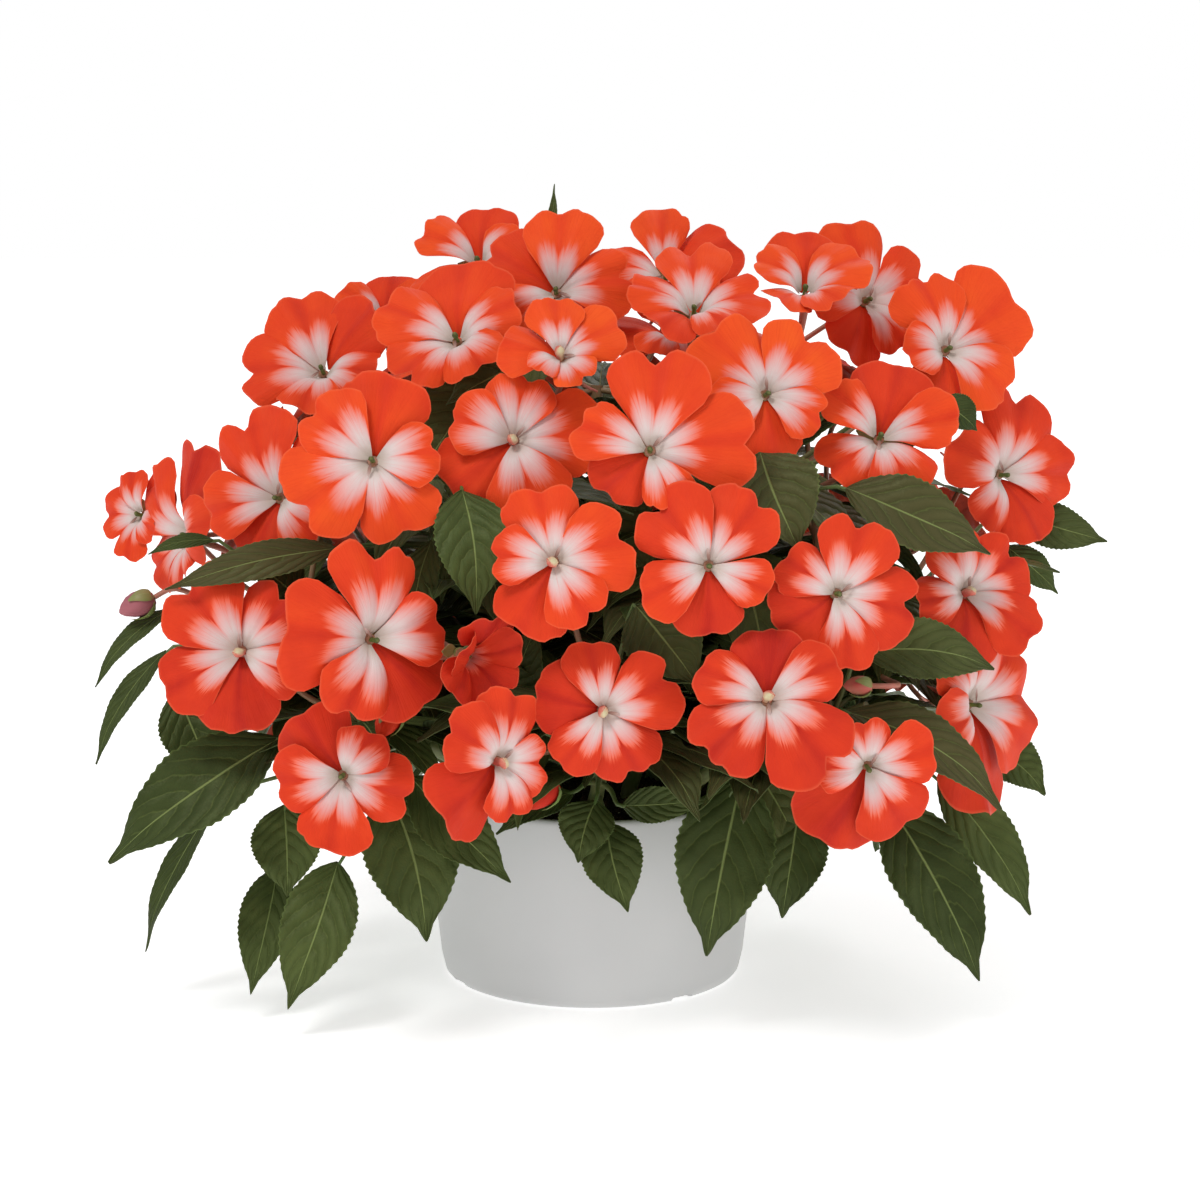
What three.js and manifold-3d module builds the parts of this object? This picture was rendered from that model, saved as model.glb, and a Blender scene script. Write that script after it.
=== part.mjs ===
// Potted New Guinea impatiens: a round pot of soil with eleven leafy shoots under a dome of blooms.
// Millimetres, +Z up. The origin is the centre of the pot's underside, on the ground.
// The plant is seen from -Y, with +X to the right.

import * as THREE from "three";
import { mergeVertices } from "three/addons/utils/BufferGeometryUtils.js";
import Module from "manifold-3d";

const wasm = await Module();
wasm.setup();

// Pot and soil
const POT_HEIGHT = 86;
const BASE_RADIUS = 66.5;
const RIM_RADIUS = 76;
const POT_WALL = 2.4;
const POT_FLOOR = 5;
const FOOT_RECESS = 2.4; // the ring around the centre pad stands this far off the ground
const CENTRE_PAD_RADIUS = 22;
const FOOT_RING_WIDTH = 7;
const DRAIN_HOLES = 6;
const DRAIN_RADIUS = 4.5;
const DRAIN_RING = 41;
const FOOT_NOTCHES = [-63, 37, 117, 207]; // degrees from the front, to the right
const NOTCH = { width: 11, height: 2, depth: 14 };
const SEAT_GAP = 0.3;
const SOIL_TOP = 75;
const SOIL_MOUND = 4;

// The dome that the blooms lie on
const DOME = { centre: [3, -5, 135], radii: [180, 170, 176] };

// The photograph: its pixels, in a frame of 1200 x 1200, give lines of sight through the plant
const PHOTO = { middle: 600, mmPerPixel: 0.44, distance: 1467, elevation: 11, aim: [3.5, 0, 166.8] };

// Flower and leaf sizes
const PETAL_THICKNESS = 0.6;
const LEAF_THICKNESS = 0.8;
const PEDICEL_RADIUS = 1.1;
const STALK_STEPS = 3;
const PETIOLE_WIDTH = 2.4;
const STEM_RADIUS = 3;
const ROOT_RADIUS = 3.6;
const KNUCKLE_LENGTH = 6;
const ROOT_DEPTH = 14;
const CLEARANCE = 0.8; // added around a piece when it is tested against its neighbours

// Shoots: foot on the soil, way point, top, and the leaves of their lower and upper whorl
const SHOOTS = [
  { name: "shoot_front_left", foot: [-26, -30], bend: [-62, -62, 112], top: [-112, -96, 140], leaves: [0, 3] },
  { name: "shoot_front", foot: [0, -42], bend: [4, -72, 108], top: [6, -112, 150], leaves: [0, 2] },
  { name: "shoot_front_right", foot: [26, -30], bend: [64, -62, 112], top: [114, -94, 140], leaves: [0, 3] },
  { name: "shoot_left", foot: [-44, 2], bend: [-92, -12, 120], top: [-138, -22, 176], leaves: [2, 3] },
  { name: "shoot_right", foot: [44, 2], bend: [94, -8, 120], top: [140, -16, 176], leaves: [2, 3] },
  { name: "shoot_back_left", foot: [-28, 34], bend: [-66, 66, 120], top: [-104, 92, 172], leaves: [4, 4] },
  { name: "shoot_back_right", foot: [28, 34], bend: [66, 66, 120], top: [104, 92, 172], leaves: [4, 4] },
  { name: "shoot_back", foot: [0, 46], bend: [0, 84, 112], top: [0, 124, 150], leaves: [4, 4] },
  { name: "shoot_top_left", foot: [-16, -6], bend: [-40, -30, 160], top: [-62, -52, 236], leaves: [2, 3] },
  { name: "shoot_top_right", foot: [16, -6], bend: [40, -28, 160], top: [66, -48, 236], leaves: [2, 3] },
  { name: "shoot_top", foot: [0, 18], bend: [0, 26, 160], top: [2, 36, 252], leaves: [3, 3] },
];

// Blooms in view, the nearest first. Each row: px, py, radius, yaw right, pitch up, clock hour
// of the plain petal, and how far the bloom stands off the dome toward the viewer
const VIEW_BLOOMS = [
  [560, 355, 22, 0, 25, 9.5, 14],
  [650, 450, 32, 2, 4, 7.5, 14],
  [767, 394, 28, 12, 5, 6, 10],
  [880, 437, 28, 8, 22, 12.5, 10],
  [372, 460, 31, -4, 6, 12.5, 16],
  [709, 566, 28, 2, 0, 6, 8],
  [553, 562, 29, -4, 2, 7, 8],
  [768, 698, 31, 4, 12, 12, 8],
  [500, 762, 29, 28, -4, 8, 12],
  [603, 711, 28, 4, -6, 9.5, 4],
  [374, 640, 33, 32, -2, 4.5, 14],
  [240, 652, 29, -8, 0, 6, 10],
  [342, 776, 26, -6, -8, 11, 8],
  [838, 594, 28, 12, 0, 8, 6],
  [868, 768, 26, 10, -12, 7, 2],
  [968, 592, 25, 22, 12, 6.5, 8],
  [513, 440, 29, 0, 6, 7.5, 0],
  [456, 338, 28, -12, 30, 12, 8],
  [948, 349, 28, 20, 14, 6.5, 12],
  [694, 311, 28, 4, 46, 7, 12],
  [805, 291, 23, 4, 58, 12, 12],
  [1004, 475, 30, 34, 0, 5, 4],
  [277, 498, 28, -18, 4, 6.5, 0],
  [322, 370, 28, -14, 30, 1.5, 6],
  [556, 291, 27, 0, 14, 10, 0],
  [868, 300, 29, 26, 12, 7, -6],
  [187, 535, 31, -64, 2, 1, 0],
  [140, 515, 24, -60, 10, 2, -10],
  [478, 262, 26, -14, 36, 12, -6],
  [975, 705, 32, 54, 0, 6, 0],
  [665, 275, 26, -8, 34, 2, -14],
  [672, 335, 23, 0, 40, 9, -22],
  [385, 320, 23, -10, 40, 12, -24],
];
const CUPPED_BLOOM = [465, 655, 23, 40, -14, 12, -10];
const CUP_ANGLE = 48;

// Blooms away from the viewer: rings on the dome, at a height angle, with their bearings from
// the front
const BACK_RINGS = [
  { height: 62, bearings: [104, 152, 204, 254] },
  { height: 40, bearings: [110, 139, 168, 196, 224, 252] },
  { height: 17, bearings: [112, 140, 166, 192, 218, 244] },
  { height: -6, bearings: [106, 132, 158, 184, 210, 236] },
];
// Their stalks join in sprays, each at a knuckle on the end of a shoot
const SPRAYS = [
  { name: "spray_back_right", shoot: "shoot_back_right" },
  { name: "spray_back", shoot: "shoot_back" },
  { name: "spray_back_left", shoot: "shoot_back_left" },
  { name: "spray_top", shoot: "shoot_top" },
];

// Buds in view: px, py, nearness toward the viewer, length, and the direction they point, in clock hours
const BUDS = [
  [137, 605, 20, 17, 9],
  [388, 722, 130, 15, 7],
  [543, 795, 118, 16, 7.5],
  [858, 686, 128, 12, 9],
];

// Leaves in view. Each row: base px, py, tip px, py, nearness of base and tip toward the viewer,
// width, and roll of the blade about its midrib
const VIEW_LEAVES = [
  [538, 282, 557, 184, -14, -22, 22, 30],
  [548, 352, 446, 402, 96, 112, 33, 0],
  [462, 490, 476, 613, 112, 134, 30, 0],
  [432, 540, 413, 655, 96, 118, 16, 0],
  [338, 548, 165, 590, 84, 96, 22, -30],
  [214, 540, 148, 553, 20, 24, 16, 0],
  [172, 608, 93, 685, 14, 26, 18, 20],
  [166, 650, 93, 762, 30, 50, 20, 20],
  [176, 690, 216, 784, 54, 64, 28, 0],
  [280, 738, 106, 860, 84, 104, 33, 0],
  [196, 840, 140, 950, 40, 56, 12, 30],
  [284, 805, 287, 896, 70, 84, 29, 0],
  [278, 868, 250, 993, 56, 84, 24, 0],
  [338, 862, 287, 1008, 78, 108, 31, 0],
  [388, 790, 427, 941, 88, 110, 35, 0],
  [410, 776, 511, 881, 92, 112, 27, 0],
  [606, 822, 628, 911, 96, 116, 29, 0],
  [596, 800, 578, 862, 92, 106, 23, 0],
  [622, 806, 708, 800, 94, 112, 15, 20],
  [574, 792, 496, 832, 94, 108, 14, 10],
  [742, 776, 706, 956, 90, 112, 40, 0],
  [800, 802, 782, 918, 74, 88, 29, 0],
  [886, 800, 982, 980, 72, 96, 36, 0],
  [938, 778, 1033, 914, 52, 68, 25, 0],
  [846, 712, 1004, 806, 132, 140, 26, -10],
  [985, 745, 1046, 794, 16, 26, 22, 0],
  [862, 652, 996, 668, 92, 84, 25, 10],
  [760, 452, 800, 550, 108, 132, 37, 0],
  [846, 488, 992, 552, 96, 104, 30, 0],
  [1006, 510, 1108, 541, 6, 10, 20, 20],
  [1006, 546, 1059, 593, 14, 18, 15, 0],
  [636, 606, 698, 684, 122, 140, 33, 0],
  [940, 400, 978, 430, 40, 40, 16, 0],
  [508, 706, 536, 626, 96, 104, 24, 0],
];

// Rings of leaves that hang out from the far side: bearings from the front, then the distance from
// the pot's axis and the height of base and tip
const BACK_LEAVES = [
  { bearings: [92, 113, 134, 155, 176, 197, 218, 239, 262], base: [104, 100], tip: [150, 38], width: 34 },
  { bearings: [100, 126, 152, 178, 204, 230, 256], base: [112, 150], tip: [184, 122], width: 32 },
  { bearings: [90, 128, 166, 204, 242, 270], base: [92, 214], tip: [166, 216], width: 30 },
];

// Whorls of leaves that fill each shoot: part of the way up the stem, leaf length and rise
const WHORLS = [
  { along: 0.55, length: 74, rise: 8 },
  { along: 0.88, length: 66, rise: 30 },
];
const WHORL_LEAF_WIDTH = 0.36; // of the length

// Steps that a piece may be moved by until it stands clear, in mm or in degrees
const BLOOM_STEPS = [0, -5, -10, -15, -20, -26, -32, -38, -46, -54, -62];
const LEAF_STEPS = [0, -6, 6, -12, 12, -18, 18, -26, 26, -34, -42];
const WHORL_TURNS = [0, 22, -22, 44, -44];
const BACK_TURNS = [0, 7, -7, 13, -13];
const STALK_DETOURS = [
  [0, 0, 0],
  [0, 0, -24],
  [0, 26, 0],
  [0, 0, 24],
  [26, 0, 0],
  [-26, 0, 0],
  [0, -26, 0],
  [0, 46, -10],
];

const radians = THREE.MathUtils.degToRad;
const vector = (x, y, z) => new THREE.Vector3(x, y, z);
const upward = vector(0, 0, 1);

// Spreads repeats evenly between two values without a pattern: the golden ratio's multiples
function spread(index, low, high) {
  const part = (index * 0.6180339887) % 1;
  return low + (high - low) * part;
}

// Lines of sight
const toRight = vector(1, 0, 0);
const toUp = vector(0, Math.sin(radians(PHOTO.elevation)), Math.cos(radians(PHOTO.elevation)));
const toViewer = vector(0, -Math.cos(radians(PHOTO.elevation)), Math.sin(radians(PHOTO.elevation)));
const eye = vector(...PHOTO.aim).addScaledVector(toViewer, PHOTO.distance);

function sightLine(px, py) {
  const direction = toViewer.clone().multiplyScalar(-PHOTO.distance);
  direction.addScaledVector(toRight, (px - PHOTO.middle) * PHOTO.mmPerPixel);
  direction.addScaledVector(toUp, (PHOTO.middle - py) * PHOTO.mmPerPixel);
  return new THREE.Ray(eye.clone(), direction.normalize());
}

// The point of a pixel that lies this far in front of the pot's axis
function pointInView(px, py, nearness) {
  const ray = sightLine(px, py);
  return ray.at((-nearness - ray.origin.y) / ray.direction.y, vector());
}

// The point of a pixel on the dome, or the nearest to it where the line of sight passes outside
function pointOnDome(px, py) {
  const centre = vector(...DOME.centre);
  const radii = vector(...DOME.radii);
  const ray = sightLine(px, py);
  const squeezed = new THREE.Ray(
    ray.origin.clone().sub(centre).divide(radii),
    ray.direction.clone().divide(radii).normalize(),
  );
  const hit = squeezed.intersectSphere(new THREE.Sphere(vector(), 1), vector());
  const found = hit ?? squeezed.closestPointToPoint(vector(), vector());
  return found.multiply(radii).add(centre);
}

// Solids
function closed(geometry) {
  const bare = geometry.clone();
  bare.deleteAttribute("normal");
  bare.deleteAttribute("uv");
  return mergeVertices(bare, 1e-4);
}

function solidOf(geometry) {
  const merged = closed(geometry);
  const vertProperties = new Float32Array(merged.attributes.position.array);
  const triVerts = new Uint32Array(merged.index.array);
  return new wasm.Manifold(new wasm.Mesh({ numProp: 3, vertProperties, triVerts }));
}

function geometryOf(solid) {
  const { vertProperties, triVerts } = solid.getMesh();
  const geometry = new THREE.BufferGeometry();
  geometry.setAttribute("position", new THREE.BufferAttribute(vertProperties, 3));
  geometry.setIndex(new THREE.BufferAttribute(triVerts, 1));
  return geometry;
}

function fused(geometries) {
  return geometries.map(solidOf).reduce((all, next) => all.add(next));
}

function placed(geometry, matrix) {
  return geometry.clone().applyMatrix4(matrix);
}

// A closed blade around a sheet of points, thickened along the sheet's normals
function bladeAround(points, faces, thickness) {
  const normals = points.map(() => vector());
  const edges = new Map();
  for (const [a, b, c] of faces) {
    const across = points[b].clone().sub(points[a]);
    const normal = across.cross(points[c].clone().sub(points[a]));
    for (const corner of [a, b, c]) normals[corner].add(normal);
    for (const [from, to] of [[a, b], [b, c], [c, a]]) {
      if (!edges.delete(`${to}>${from}`)) edges.set(`${from}>${to}`, [from, to]);
    }
  }
  const count = points.length;
  const corners = [];
  for (const side of [0.5, -0.5]) {
    points.forEach((point, i) => {
      const half = normals[i].clone().setLength(side * thickness[i]);
      corners.push(...point.clone().add(half).toArray());
    });
  }
  const triangles = [];
  for (const [a, b, c] of faces) triangles.push(a, b, c, count + a, count + c, count + b);
  for (const [from, to] of edges.values()) {
    triangles.push(from, count + from, to, to, count + from, count + to);
  }
  const geometry = new THREE.BufferGeometry();
  geometry.setAttribute("position", new THREE.Float32BufferAttribute(corners, 3));
  geometry.setIndex(triangles);
  return geometry;
}

// A thin rod along a curve, from its first point to its last
function rodAlong(points, radius, sides, steps) {
  const outline = new THREE.Shape();
  for (let i = 0; i < sides; i++) {
    const angle = (2 * Math.PI * i) / sides;
    const corner = [radius * Math.cos(angle), radius * Math.sin(angle)];
    if (i === 0) outline.moveTo(...corner);
    else outline.lineTo(...corner);
  }
  outline.closePath();
  const extrudePath = new THREE.CatmullRomCurve3(points);
  return new THREE.ExtrudeGeometry(outline, { steps, extrudePath, bevelEnabled: false });
}

// Pieces already placed, so that each new one can be bent clear of them
const neighbours = [];

function boundsOf(solid) {
  const { min, max } = solid.boundingBox();
  return new THREE.Box3(vector(...min), vector(...max));
}

// A piece may touch its own stem, and where it isn't strict the rest of its own shoot too
function isClear(solid, owner, strict = false) {
  const bounds = boundsOf(solid);
  return neighbours.every(
    (other) =>
      (other.owner === owner && (other.isStem || !strict)) ||
      !other.bounds.intersectsBox(bounds) ||
      other.solid.intersect(solid).volume() < 1e-3,
  );
}

function remember(solid, owner, isStem = false) {
  neighbours.push({ solid, owner, isStem, bounds: boundsOf(solid) });
}

remember(potSolid(), "pot");
remember(soilSolid(), "soil");

// Blooms. The hub is a five-sided core, one side to a petal, under a small column. Each petal
// springs from its own side at its own level, so that the five lie in layers
const HUB = { back: -6, backRadius: 1.8, radius: 4.2, shoulder: 3.6, tip: 8.6 };
const PETALS = [
  { turn: 0, level: -2.2, width: 1.1, notch: 0.93 },
  { turn: 73, level: 2.3, width: 1.06, notch: 0.84 },
  { turn: 146, level: -0.7, width: 1, notch: 0.86 },
  { turn: 214, level: 0.8, width: 1, notch: 0.86 },
  { turn: 287, level: 2.3, width: 1.06, notch: 0.84 },
];
const PETAL_SHAPE = { side: [0.56, 0.6], lobe: [0.36, 0.96], rise: 1.2, curl: -0.8 };
const SPUR_TIP = [0, -7, -27];

// Faces between two rising rows of corners that share their first and last levels
function zipped(left, right, heightOf) {
  const faces = [];
  let [i, j] = [0, 0];
  while (i < left.length - 1 || j < right.length - 1) {
    const leftNext = i < left.length - 1 ? heightOf(left[i + 1]) : Infinity;
    const rightNext = j < right.length - 1 ? heightOf(right[j + 1]) : Infinity;
    if (leftNext <= rightNext) {
      faces.push(left[i], right[j], left[i + 1]);
      i += 1;
    } else {
      faces.push(left[i], right[j], right[j + 1]);
      j += 1;
    }
  }
  return faces;
}

function bloomShell(radius, cup, thickness) {
  const corners = [];
  const faces = [];
  const add = (point) => corners.push(point) - 1;
  const heightOf = (index) => corners[index].z;
  const around = (r, turn, z) => vector(-r * Math.sin(turn), r * Math.cos(turn), z);

  // Rows of corners up the core's edges, with a corner for each petal's under and upper face
  const rows = PETALS.map((petal, k) => {
    const before = PETALS.at(k - 1);
    const turnBefore = k === 0 ? before.turn - 360 : before.turn;
    const turn = radians((petal.turn + turnBefore) / 2);
    const levels = [petal, before].flatMap(({ level }) => [level - thickness / 2, level + thickness / 2]);
    const row = levels.sort((low, high) => low - high).map((z) => add(around(HUB.radius, turn, z)));
    row.unshift(add(around(HUB.backRadius, turn, HUB.back)));
    row.push(add(around(HUB.radius, turn, HUB.shoulder)));
    return row;
  });
  const tip = add(vector(0, 0, HUB.tip));

  PETALS.forEach((petal, k) => {
    const [left, right] = [rows[k], rows[(k + 1) % PETALS.length]];
    const under = petal.level - thickness / 2;
    const upper = petal.level + thickness / 2;
    const at = (row, z) => row.findIndex((index) => Math.abs(heightOf(index) - z) < 1e-6);
    const [leftUnder, rightUnder] = [at(left, under), at(right, under)];
    const [leftUpper, rightUpper] = [at(left, upper), at(right, upper)];
    faces.push(...zipped(left.slice(0, leftUnder + 1), right.slice(0, rightUnder + 1), heightOf));
    faces.push(...zipped(left.slice(leftUpper), right.slice(rightUpper), heightOf));
    faces.push(left.at(-1), right.at(-1), tip);

    const [sideX, sideY] = PETAL_SHAPE.side;
    const [lobeX, lobeY] = PETAL_SHAPE.lobe;
    const { width, notch } = petal;
    const outline = [
      [sideX * width, sideY, PETAL_SHAPE.rise / 2],
      [lobeX, lobeY, PETAL_SHAPE.curl],
      [0, notch, PETAL_SHAPE.rise / 3],
      [-lobeX, lobeY, PETAL_SHAPE.curl],
      [-sideX * width, sideY, PETAL_SHAPE.rise / 2],
    ];
    const layers = [under, upper].map((level) =>
      outline.map(([x, y, z]) => {
        const point = vector(x * radius, y * radius, z + level - petal.level);
        point.applyAxisAngle(vector(1, 0, 0), radians(cup));
        point.z += petal.level;
        return add(point.applyAxisAngle(upward, radians(petal.turn)));
      }),
    );
    const low = [left[leftUnder], ...layers[0], right[rightUnder]];
    const high = [left[leftUpper], ...layers[1], right[rightUpper]];
    for (const [a, b, c] of [[0, 1, 2], [0, 2, 3], [0, 3, 6], [6, 3, 4], [6, 4, 5]]) {
      faces.push(high[a], high[b], high[c], low[a], low[c], low[b]);
    }
    for (let i = 0; i < 6; i++) {
      faces.push(low[i], low[i + 1], high[i + 1], low[i], high[i + 1], high[i]);
    }
  });
  const bottom = rows.map((row) => row[0]);
  for (let k = 1; k < 4; k++) faces.push(bottom[0], bottom[k + 1], bottom[k]);

  // The spur: the lowest face opposite the plain petal is drawn out to a long point
  const spur = add(vector(...SPUR_TIP));
  const drawn = faces.findIndex((corner, i) => i % 3 === 0 && corner === bottom[2] && faces[i + 1] === bottom[3]);
  const [a, b, c] = faces.splice(drawn, 3);
  faces.push(a, b, spur, b, c, spur, c, a, spur);

  const geometry = new THREE.BufferGeometry();
  const numbers = corners.flatMap((point) => point.toArray());
  geometry.setAttribute("position", new THREE.Float32BufferAttribute(numbers, 3));
  return geometry.setIndex(faces);
}

// A bloom's frame: z is the way it faces and y its plain petal
function bloomFrame(centre, facing, plainPetal) {
  const z = facing.clone().normalize();
  const y = plainPetal.clone().addScaledVector(z, -plainPetal.dot(z)).normalize();
  return new THREE.Matrix4().makeBasis(y.clone().cross(z), y, z).setPosition(centre);
}

function facingInView(yaw, pitch) {
  const level = Math.cos(radians(pitch));
  return toViewer.clone().multiplyScalar(level * Math.cos(radians(yaw)))
    .addScaledVector(toRight, level * Math.sin(radians(yaw)))
    .addScaledVector(toUp, Math.sin(radians(pitch)));
}

function clockInView(hour) {
  const angle = radians(hour * 30);
  return toRight.clone().multiplyScalar(Math.sin(angle)).addScaledVector(toUp, Math.cos(angle));
}

// Places a bloom at the first step from its nominal centre that stands clear
function settleBloom(name, radius, cup, frameAt) {
  for (const step of BLOOM_STEPS) {
    const frame = frameAt(step);
    const shell = bloomShell(radius, cup, PETAL_THICKNESS + CLEARANCE);
    const envelope = solidOf(placed(shell, frame));
    if (isClear(envelope, name)) {
      remember(envelope, name);
      return { name, radius, cup, frame };
    }
  }
  throw new Error(`${name} finds no clear place`);
}

function viewBloom(name, row, cup) {
  const [px, py, radius, yaw, pitch, hour, lift] = row;
  const away = sightLine(px, py).direction;
  return settleBloom(name, radius, cup, (step) => {
    const centre = pointOnDome(px, py).addScaledVector(away, -lift - step);
    return bloomFrame(centre, facingInView(yaw, pitch), clockInView(hour));
  });
}

// A point on the dome at a bearing from the front and a height angle, and the way out from it
function domePoint(bearing, height) {
  const level = Math.cos(radians(height));
  const out = vector(
    level * Math.sin(radians(bearing)),
    -level * Math.cos(radians(bearing)),
    Math.sin(radians(height)),
  );
  const point = out.clone().multiply(vector(...DOME.radii)).add(vector(...DOME.centre));
  return { point, out };
}

function backBloom(name, index, bearing, height) {
  const radius = spread(index, 28, 33);
  const { point, out } = domePoint(bearing, height + spread(index + 3, -5, 5));
  const facing = out.clone().addScaledVector(upward, spread(index + 5, 0, 0.35));
  const plain = vector(spread(index + 7, -1, 1), spread(index + 2, -1, 1), -0.4);
  return settleBloom(name, radius, 0, (step) => {
    const centre = point.clone().addScaledVector(out, step);
    return bloomFrame(centre, facing, plain);
  });
}

const viewBlooms = VIEW_BLOOMS.map((row, i) =>
  viewBloom(`bloom_${String(i + 1).padStart(2, "0")}`, row, 0),
);
viewBlooms.push(viewBloom("bloom_half_open", CUPPED_BLOOM, CUP_ANGLE));

const backBlooms = [];
for (const { height, bearings } of BACK_RINGS) {
  for (const bearing of bearings) {
    const index = backBlooms.length + 1;
    backBlooms.push(backBloom(`back_bloom_${index}`, index, bearing, height));
  }
}

// Shoots: a straight root in the soil and a stem that leans out from it
const stems = SHOOTS.map(({ name, foot, bend, top, leaves }) => {
  const root = new THREE.CylinderGeometry(ROOT_RADIUS, ROOT_RADIUS, ROOT_DEPTH + 12, 6);
  root.rotateX(Math.PI / 2);
  root.translate(foot[0], foot[1], SOIL_TOP - ROOT_DEPTH + (ROOT_DEPTH + 12) / 2);
  const route = [vector(foot[0], foot[1], SOIL_TOP + 5), vector(...bend), vector(...top)];
  const curve = new THREE.CatmullRomCurve3(route);
  const pieces = [root, rodAlong(route, STEM_RADIUS, 5, 4)];
  remember(fused([root, rodAlong(route, STEM_RADIUS + CLEARANCE / 2, 5, 4)]), name, true);
  return { name, leaves, curve, pieces };
});

// Sprays: each starts at a knuckle on the end of its shoot
const sprays = SPRAYS.map(({ name, shoot }) => {
  const { curve } = stems.find((each) => each.name === shoot);
  const along = curve.getTangentAt(1);
  const knuckle = curve.getPointAt(1).addScaledVector(along, SEAT_GAP + KNUCKLE_LENGTH / 2);
  const turn = new THREE.Quaternion().setFromUnitVectors(vector(0, 1, 0), along);
  const collar = new THREE.CylinderGeometry(STEM_RADIUS, STEM_RADIUS, KNUCKLE_LENGTH, 5);
  const pieces = [collar.applyQuaternion(turn).translate(...knuckle)];
  remember(fused(pieces), name);
  return { name, knuckle, pieces };
});

// Buds: a small pointed egg each, on a stalk of its shoot
const BUD_PROFILE = [
  [0, 0],
  [0.16, 0],
  [0.34, 0.3],
  [0.26, 0.75],
  [0, 1],
];
const buds = BUDS.map(([px, py, nearness, length, hour], i) => {
  const name = `bud_${i + 1}`;
  const centre = pointInView(px, py, nearness);
  const points = clockInView(hour);
  const frame = bloomFrame(centre.addScaledVector(points, -length / 2), points, toViewer);
  const profile = BUD_PROFILE.map(([r, z]) => new THREE.Vector2(r * length, z * length));
  const geometry = new THREE.LatheGeometry(profile, 6).rotateX(Math.PI / 2);
  remember(fused([placed(geometry, frame)]), name);
  return { name, geometry, frame };
});

// Leaves. A leaf is a stalk and a blade of three stations, folded up along its midrib
const LEAF_STATIONS = [
  { along: 0.2, width: 0.74, wave: 0.03 },
  { along: 0.46, width: 1, wave: -0.03 },
  { along: 0.75, width: 0.66, wave: 0.03 },
];
const SMALL_LEAF_STATIONS = [
  { along: 0.3, width: 0.94, wave: 0.03 },
  { along: 0.64, width: 0.84, wave: -0.03 },
];
const NARROW = 25;
const LEAF_FOLD = 0.2;
const LEAF_ARCH = 0.07;

function leafGeometry({ joint, base, tip, width, normal, stations }, extra) {
  const axis = tip.clone().sub(base);
  const length = axis.length();
  const side = axis.clone().cross(normal).normalize();
  const face = side.clone().cross(axis).normalize();
  const offset = (from, along, across, up) =>
    from.clone().addScaledVector(axis, along).addScaledVector(side, across).addScaledVector(face, up);
  const half = PETIOLE_WIDTH / 2;
  const points = [
    offset(joint, 0, -half, 0),
    offset(joint, 0, half, 0),
    offset(base, 0, -half, 0),
    offset(base, 0, half, 0),
  ];
  const thickness = [2, 2, 2, 2];
  for (const station of stations) {
    const across = (station.width * width) / 2;
    const arch = 4 * LEAF_ARCH * length * station.along * (1 - station.along);
    const edge = arch + across * LEAF_FOLD + station.wave * width;
    points.push(offset(base, station.along, -across, edge));
    points.push(offset(base, station.along, 0, arch));
    points.push(offset(base, station.along, across, edge));
    thickness.push(LEAF_THICKNESS, 1.2, LEAF_THICKNESS);
  }
  points.push(tip.clone());
  thickness.push(LEAF_THICKNESS);
  const faces = [[0, 1, 3], [0, 3, 2], [2, 3, 5], [2, 5, 4], [3, 6, 5]];
  const last = 1 + 3 * stations.length;
  for (let first = 4; first < last; first += 3) {
    faces.push([first, first + 1, first + 4], [first, first + 4, first + 3]);
    faces.push([first + 1, first + 2, first + 5], [first + 1, first + 5, first + 4]);
  }
  faces.push([last, last + 1, last + 3], [last + 1, last + 2, last + 3]);
  return bladeAround(points, faces, thickness.map((t) => t + extra));
}

// The places above the rim that a leaf or a flower stalk can leave a stem from, the nearest first
function jointsAround(point) {
  const joints = [];
  for (const stem of stems) {
    for (let i = 3; i <= 17; i++) {
      const at = stem.curve.getPointAt(i / 20);
      const apart = at.distanceTo(point) + Math.max(0, at.z - point.z);
      if (at.z > POT_HEIGHT + 6) joints.push({ at, stem, apart });
    }
  }
  return joints.sort((a, b) => a.apart - b.apart);
}

// Adds a leaf to the first stem and step where it stands clear; a whorl's leaf may be left out
function settleLeaf(choices, required) {
  for (const strict of required ? [true, false] : [true]) {
    for (const leaf of choices) {
      const out = leaf.base.clone().sub(leaf.joint).setLength(ROOT_RADIUS + 1);
      const joint = leaf.joint.clone().add(out);
      const envelope = solidOf(leafGeometry({ ...leaf, joint }, CLEARANCE));
      if (isClear(envelope, leaf.stem.name, strict)) {
        remember(envelope, leaf.stem.name);
        leaf.stem.pieces.push(leafGeometry(leaf, 0));
        return;
      }
    }
  }
  if (required) throw new Error(`${required} finds no clear place`);
}

VIEW_LEAVES.forEach(([bx, by, tx, ty, baseNear, tipNear, width, roll], i) => {
  const stations = width < NARROW ? SMALL_LEAF_STATIONS : LEAF_STATIONS;
  const choices = [];
  for (const step of LEAF_STEPS) {
    const base = pointInView(bx, by, baseNear + step);
    const tip = pointInView(tx, ty, tipNear + step);
    const axis = tip.clone().sub(base).normalize();
    const normal = toViewer.clone().addScaledVector(toUp, 0.5).applyAxisAngle(axis, radians(roll));
    for (const { at, stem } of jointsAround(base).filter((_, k) => k % 4 === 0).slice(0, 8)) {
      choices.push({ joint: at, base, tip, width, normal, stations, stem });
    }
  }
  settleLeaf(choices, `leaf ${i + 1}`);
});

// A point at a bearing from the front, this far from the pot's axis
function pointAround(bearing, [distance, height]) {
  const angle = radians(bearing);
  return vector(distance * Math.sin(angle), -distance * Math.cos(angle), height);
}

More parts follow.
